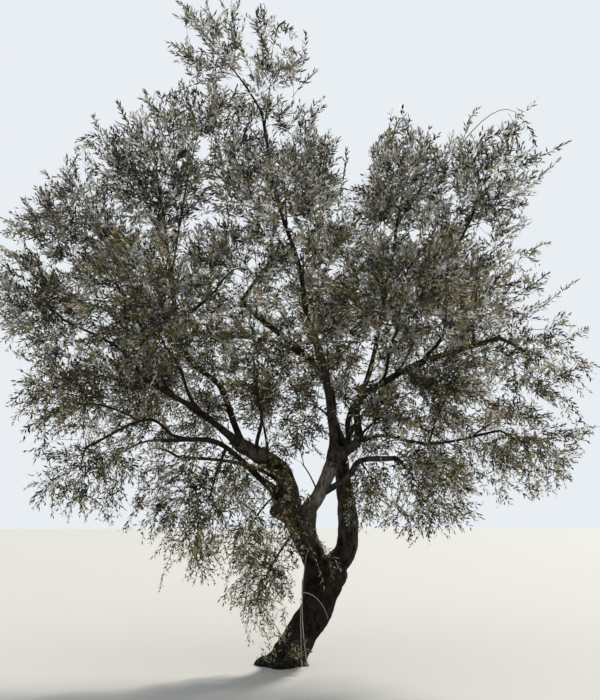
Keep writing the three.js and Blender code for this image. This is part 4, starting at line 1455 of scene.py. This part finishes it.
    def build(self) -> list[Piece]:
        """Builds the bark of every limb.

        Returns:
            The pieces.
        """
        made = [self.build_trunk()]
        plain, middle, pale = BOUGH_BARK.make(), MIDDLE_BARK.make(), PALE_BARK.make()
        for seed, limb in enumerate(self.skeleton.limbs.values()):
            if limb.name == self.pale:
                made.append(self.build_bough(limb, seed, pale))
            elif limb.name not in self.fused:
                finish = middle if limb.name in self.greyish else plain
                made.append(self.build_bough(limb, seed, finish))
        return made


@dataclass(frozen=True)
class Whip:
    """A long free shoot: its foot, the point that it bends by, its tip, its bare share and its radius."""

    foot: Point
    by: Point
    tip: Point
    bare: float = 0.15
    radius: float = 0.004
    hang: float = 0.3

    POINTS, TAPER, KINDS = 10, 3, 3

    def path(self) -> Array:
        """The whip's points, on one smooth bend.

        Returns:
            A row of points.
        """
        share = np.linspace(0, 1, self.POINTS)[:, None]
        foot, by, tip = np.array(self.foot), np.array(self.by), np.array(self.tip)
        pull = 2 * by - (foot + tip) / 2
        return foot * (1 - share) ** 2 + 2 * pull * share * (1 - share) + tip * share**2


WHIPS = (
    Whip((1.7, -0.1, 5.25), (2.34, -0.1, 6.08), (2.74, -0.1, 6.09), 0.9, 0.008),
    Whip((2.68, -0.1, 6.12), (2.8, -0.1, 6.17), (2.93, -0.1, 6.3), 0.1, 0.003),
    Whip((2.74, -0.1, 6.09), (2.86, -0.12, 5.85), (2.89, -0.12, 5.5), 0.05, 0.003, -0.5),
    Whip((2.6, -0.1, 6.14), (2.67, -0.1, 5.95), (2.69, -0.1, 5.72), 0.2, 0.003, -0.5),
    Whip((2.08, -0.1, 5.8), (2.12, -0.1, 6.0), (2.24, -0.1, 6.19), 0.1, 0.003),
    Whip((2.45, -0.1, 5.4), (2.88, -0.1, 5.57), (3.27, -0.1, 5.77)),
    Whip((2.5, -0.1, 5.0), (2.86, -0.1, 5.28), (3.16, -0.1, 5.57)),
    Whip((2.4, -0.2, 4.1), (2.72, -0.2, 4.42), (2.94, -0.2, 4.52)),
    Whip((2.45, -0.3, 3.8), (2.74, -0.3, 4.03), (2.9, -0.3, 4.14)),
    Whip((2.6, -0.4, 3.6), (2.96, -0.4, 3.88), (3.18, -0.4, 4.04)),
    Whip((2.7, -0.5, 3.2), (3.06, -0.5, 3.4), (3.22, -0.5, 3.48)),
    Whip((-0.74, 0, 6.92), (-0.98, 0, 7.29), (-1.29, 0, 7.63)),
    Whip((-0.75, 0.05, 6.98), (-0.9, 0.05, 7.34), (-0.97, 0.05, 7.69)),
    Whip((-0.64, -0.05, 6.97), (-0.68, -0.05, 7.3), (-0.78, -0.05, 7.59)),
    Whip((-0.62, 0, 7.03), (-0.64, 0, 7.34), (-0.57, 0, 7.65)),
    Whip((-0.77, 0.05, 7.0), (-1.07, 0.05, 7.29), (-1.34, 0.05, 7.48)),
    Whip((-0.81, -0.05, 6.92), (-1.12, -0.05, 6.97), (-1.41, -0.05, 7.07)),
    Whip((-0.73, 0, 6.84), (-1.09, 0, 6.87), (-1.36, 0, 6.97)),
    Whip((-0.29, 0.05, 6.87), (-0.27, 0.05, 7.23), (-0.26, 0.05, 7.56)),
    Whip((-0.19, -0.05, 6.84), (-0.29, -0.05, 7.1), (-0.43, -0.05, 7.39)),
    Whip((-0.17, 0, 6.9), (-0.12, 0, 7.23), (-0.04, 0, 7.34)),
    Whip((-0.07, 0.05, 6.82), (0.02, 0.05, 7.0), (0.12, 0.05, 7.0)),
    Whip((-0.36, -0.05, 6.58), (-0.49, -0.05, 6.87), (-0.55, -0.05, 7.1)),
    Whip((0.17, 0, 6.66), (0.22, 0, 6.97), (0.23, 0, 7.23)),
    Whip((0.07, 0.05, 6.41), (0.22, 0.05, 6.61), (0.35, 0.05, 6.75)),
    Whip((0.14, -0.05, 6.01), (0.26, -0.05, 6.18), (0.43, -0.05, 6.35)),
    Whip((0.05, 0, 5.91), (0.29, 0, 6.13), (0.45, 0, 6.28)),
    Whip((-0.65, 0.05, 6.66), (-0.93, 0.05, 6.64), (-1.45, 0.05, 6.42)),
    Whip((-1.35, -0.1, 5.7), (-1.54, -0.1, 6.15), (-1.65, -0.1, 6.4)),
    Whip((-1.6, -0.1, 5.5), (-1.83, -0.1, 6.0), (-1.96, -0.1, 6.25)),
    Whip((-1.9, -0.1, 5.35), (-2.11, -0.1, 5.8), (-2.24, -0.1, 6.08)),
    Whip((-2.4, -0.2, 4.85), (-2.62, -0.2, 5.2), (-2.75, -0.2, 5.37)),
    Whip((0.55, 0, 4.7), (0.66, 0, 5.3), (0.71, 0, 5.72)),
    Whip((-0.8, -0.6, 1.7), (-1.1, -0.6, 1.2), (-1.23, -0.6, 0.8), 0.2, 0.003, -0.8),
    Whip((-0.4, -0.6, 1.6), (-0.52, -0.6, 1.1), (-0.58, -0.6, 0.73), 0.2, 0.003, -0.8),
    Whip((0.06, -0.26, 1.95), (0.16, -0.42, 1.55), (0.3, -0.45, 1.1), 0.2, 0.003, -0.6),
    Whip((0.0, -0.26, 1.9), (0.02, -0.45, 1.5), (0.1, -0.5, 1.0), 0.2, 0.003, -0.6),
    Whip((0.1, -0.27, 1.75), (0.32, -0.4, 1.35), (0.52, -0.42, 0.98), 0.2, 0.003, -0.6),
    Whip((-0.05, -0.25, 1.95), (-0.12, -0.4, 1.5), (-0.1, -0.45, 1.1), 0.2, 0.003, -0.6),
    Whip((-1.2, -0.775, 2.27), (-1.42, -0.84, 2.24), (-1.66, -0.86, 2.1), 0.35, 0.02),
    Whip((1.8, -0.36, 2.3), (2.0, -0.5, 2.22), (2.12, -0.5, 2.2), 0.3, 0.006),
    Whip((0.85, -0.28, 2.33), (1.1, -0.4, 2.62), (1.45, -0.42, 2.5), 0.6, 0.009),
    Whip((0.13, -0.3, 0.08), (-0.17, -0.32, 0.56), (-0.5, -0.3, 1.05), 0.8, 0.006),
    Whip((0.15, -0.4, 1.4), (0.3, -0.42, 1.16), (0.42, -0.42, 0.8), 0.3, 0.003, -0.8),
    Whip((0.2, -0.4, 1.42), (0.42, -0.42, 1.2), (0.5, -0.42, 0.86), 0.4, 0.003, -0.8),
    Whip((0.16, -0.4, 1.38), (0.42, -0.42, 1.22), (0.58, -0.42, 0.98), 0.4, 0.003, -0.8),
)

SUCKERS = (
    Whip((0.188, -0.30, 0.02), (0.173, -0.35, 0.47), (0.178, -0.36, 0.68), 0.9, 0.0065),
    Whip((0.244, -0.30, 0.02), (0.188, -0.37, 0.68), (0.260, -0.36, 1.23), 0.85, 0.0065),
    Whip((0.198, -0.37, 0.76), (0.350, -0.39, 0.69), (0.452, -0.37, 0.51), 0.9, 0.005),
)


@dataclass
class Foliage:
    """All twigs and leaves: grown mass by mass, then joined by kind into a few pieces.

    sprays is how many a mass of full leaf has for each cubic metre that its half sizes make. UPPER and UNDER
    are the roughness and the specular level of a leaf's two sides.
    """

    skeleton: Skeleton
    leaf: Leaf = Leaf()
    sprays: float = 213.0
    fewest: int = 6
    seed: int = 11

    STEM_SIDES, TWIG_SIDES, SUCKER_SIDES = 7, 3, 5
    UPPER, UNDER = (0.5, 0.22), (0.85, 0.2)

    def __post_init__(self) -> None:
        """Grows every mass, its share of the sprays set by its size and fullness."""
        rows = MASSES + INNER_MASSES
        room = np.array([np.prod(mass.half) * mass.full for mass in rows])
        wanted = np.maximum(self.fewest, np.round(self.sprays * room)).astype(int)
        grown = [MassGrowth(mass, i, int(wanted[i]), self.skeleton) for i, mass in enumerate(rows)]
        self.stems = [mass.stem_tube() for mass in grown]
        self.leaders, self.sides = (self._join(rows) for rows in zip(*[mass.shoots() for mass in grown]))
        self.whips, self.suckers = self._free_shoots(WHIPS), self._free_shoots(SUCKERS)
        log.info("%d sprays, %d side shoots", len(self.leaders.paths), len(self.sides.paths))

    @staticmethod
    def _join(rows: Sequence[Shoots]) -> Shoots:
        """Joins the shoots of one size class."""
        names = [entry.name for entry in fields(Shoots)]
        return Shoots(*(np.concatenate([getattr(row, name) for row in rows]) for name in names))

    @staticmethod
    def _free_shoots(whips: Sequence[Whip]) -> Shoots:
        """The shoots that stand out of the masses.

        Args:
            whips: their rows.

        Returns:
            The shoots.
        """
        paths = np.stack([whip.path() for whip in whips])
        radii = np.stack([np.linspace(whip.radius, whip.radius / Whip.TAPER, Whip.POINTS) for whip in whips])
        bare, hang = np.array([whip.bare for whip in whips]), np.array([whip.hang for whip in whips])
        return Shoots(paths, radii, bare, np.arange(len(whips)) % Whip.KINDS, hang)

    def build_twigs(self) -> list[Piece]:
        """Builds the twigs.

        Returns:
            The masses' stems, the leaders with the whips, the side shoots, and the suckers.
        """
        stems = tuple(np.stack(rows) for rows in zip(*self.stems))
        bark, skin, pale = TWIG_BARK.make(), SHOOT_SKIN.make(), SUCKER_SKIN.make()
        rows = (
            ("stems", [stems], self.STEM_SIDES, bark, FOLIAGE_NODES),
            ("twigs", [self.leaders.line, self.whips.line], self.TWIG_SIDES, skin, FOLIAGE_NODES),
            ("side_twigs", [self.sides.line], self.TWIG_SIDES, skin, FOLIAGE_NODES),
            ("suckers", [self.suckers.line], self.SUCKER_SIDES, pale, ["foot_shoots_foliage"]),
        )
        made = []
        for name, lines, sides, finish, nodes in rows:
            tubes = [MeshMaker.tubes(paths, radii, sides) for paths, radii in lines]
            starts = np.cumsum([0] + [len(points) for points, _ in tubes])
            faces = np.vstack([triangles + start for (_, triangles), start in zip(tubes, starts)])
            piece = MeshMaker.make(name, np.vstack([points for points, _ in tubes]), faces, smooth=True)
            made.append(put_in_place(piece, [finish], nodes))
        return made

    def build_leaves(self) -> list[Piece]:
        """Builds the leaves.

        Returns:
            One piece for each kind of spray.
        """
        random = np.random.default_rng(self.seed)
        shoots = (self.leaders, self.sides, self.whips, self.suckers)
        dressed = [self.leaf.dress(row, random) for row in shoots]
        corners = np.vstack([rows for rows, _ in dressed])
        kinds = np.concatenate([rows for _, rows in dressed])
        return [self._leaf_piece(kind, corners[kinds == i]) for i, kind in enumerate(Tint)]

    def _leaf_piece(self, kind: Tint, corners: Array) -> Piece:
        """Joins the leaves of one kind.

        Args:
            kind: the kind.
            corners: four corners for each leaf.

        Returns:
            The piece.
        """
        one = np.array(Leaf.TOP + Leaf.BOTTOM)
        faces = (one[None] + Leaf.CORNERS * np.arange(len(corners))[:, None, None]).reshape(-1, 3)
        piece = MeshMaker.make(f"{kind.word}_leaves", corners.reshape(-1, 3), faces)
        upper = PlainFinish(f"{kind.word}_upper", kind.upper, *self.UPPER).make()
        under = PlainFinish(f"{kind.word}_under", kind.under, *self.UNDER).make()
        put_in_place(piece, [upper, under], FOLIAGE_NODES)
        side = np.tile(np.repeat([0, 1], [len(Leaf.TOP), len(Leaf.BOTTOM)]), len(corners))
        piece.data.polygons.foreach_set("material_index", side.astype(np.int32))
        return piece


@dataclass(frozen=True)
class Studio:
    """The floor, the light and the camera."""

    floor_half: float = 60.0
    sky: str = "#e9eef3"
    sky_strength: float = 1.0
    eye: Point = (0.1675, -9.35, 1.6)
    pitch: float = 10.564
    lens: float = 43.714
    sensor: float = 36.0
    key_turn: Point = (-52.0, 0.0, -38.0)
    key_strength: float = 5.2
    key_angle: float = 9.0
    key_colour: Point = (1.0, 0.96, 0.9)
    clip: float = 200.0

    LEVEL = 90.0

    def build(self) -> None:
        """Builds the studio."""
        self._floor()
        self._light()
        self._camera()

    def _floor(self) -> None:
        """A plain pale floor."""
        half = self.floor_half
        corners = np.array([(-half, -half, 0), (half, -half, 0), (half, half, 0), (-half, half, 0)])
        floor = MeshMaker.make("floor", corners, np.array([[0, 1, 2, 3]]))
        floor.data.materials.append(FLOOR_PAINT.make())

    def _light(self) -> None:
        """A pale sky all round, and a soft key light from the far right."""
        world = bpy.data.worlds.new("sky")
        world.use_nodes = True
        background = world.node_tree.nodes["Background"]
        background.inputs["Color"].default_value = linear(self.sky)
        background.inputs["Strength"].default_value = self.sky_strength
        bpy.context.scene.world = world
        sun = bpy.data.lights.new("key", "SUN")
        sun.energy, sun.angle, sun.color = self.key_strength, math.radians(self.key_angle), self.key_colour
        key = bpy.data.objects.new("key", sun)
        key.rotation_euler = [math.radians(turn) for turn in self.key_turn]
        bpy.context.scene.collection.objects.link(key)

    def _camera(self) -> None:
        """The camera, at a standing eye's height, tipped up at the crown."""
        data = bpy.data.cameras.new("camera")
        data.lens, data.sensor_width, data.clip_end = self.lens, self.sensor, self.clip
        camera = bpy.data.objects.new("camera", data)
        camera.location = self.eye
        camera.rotation_euler = (math.radians(self.LEVEL + self.pitch), 0, 0)
        bpy.context.scene.collection.objects.link(camera)
        bpy.context.scene.camera = camera
        bpy.context.scene.view_settings.view_transform = "Standard"


def main() -> None:
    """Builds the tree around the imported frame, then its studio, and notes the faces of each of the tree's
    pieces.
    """
    logging.basicConfig(level=logging.INFO, format="%(message)s")
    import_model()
    skeleton = Skeleton()
    bark = BarkSkin(skeleton).build()
    foliage = Foliage(skeleton)
    for piece in bark + foliage.build_twigs() + foliage.build_leaves():
        log.info("%s: %d faces", piece.name, len(piece.data.polygons))
    Studio().build()


if __name__ == "__main__":
    main()
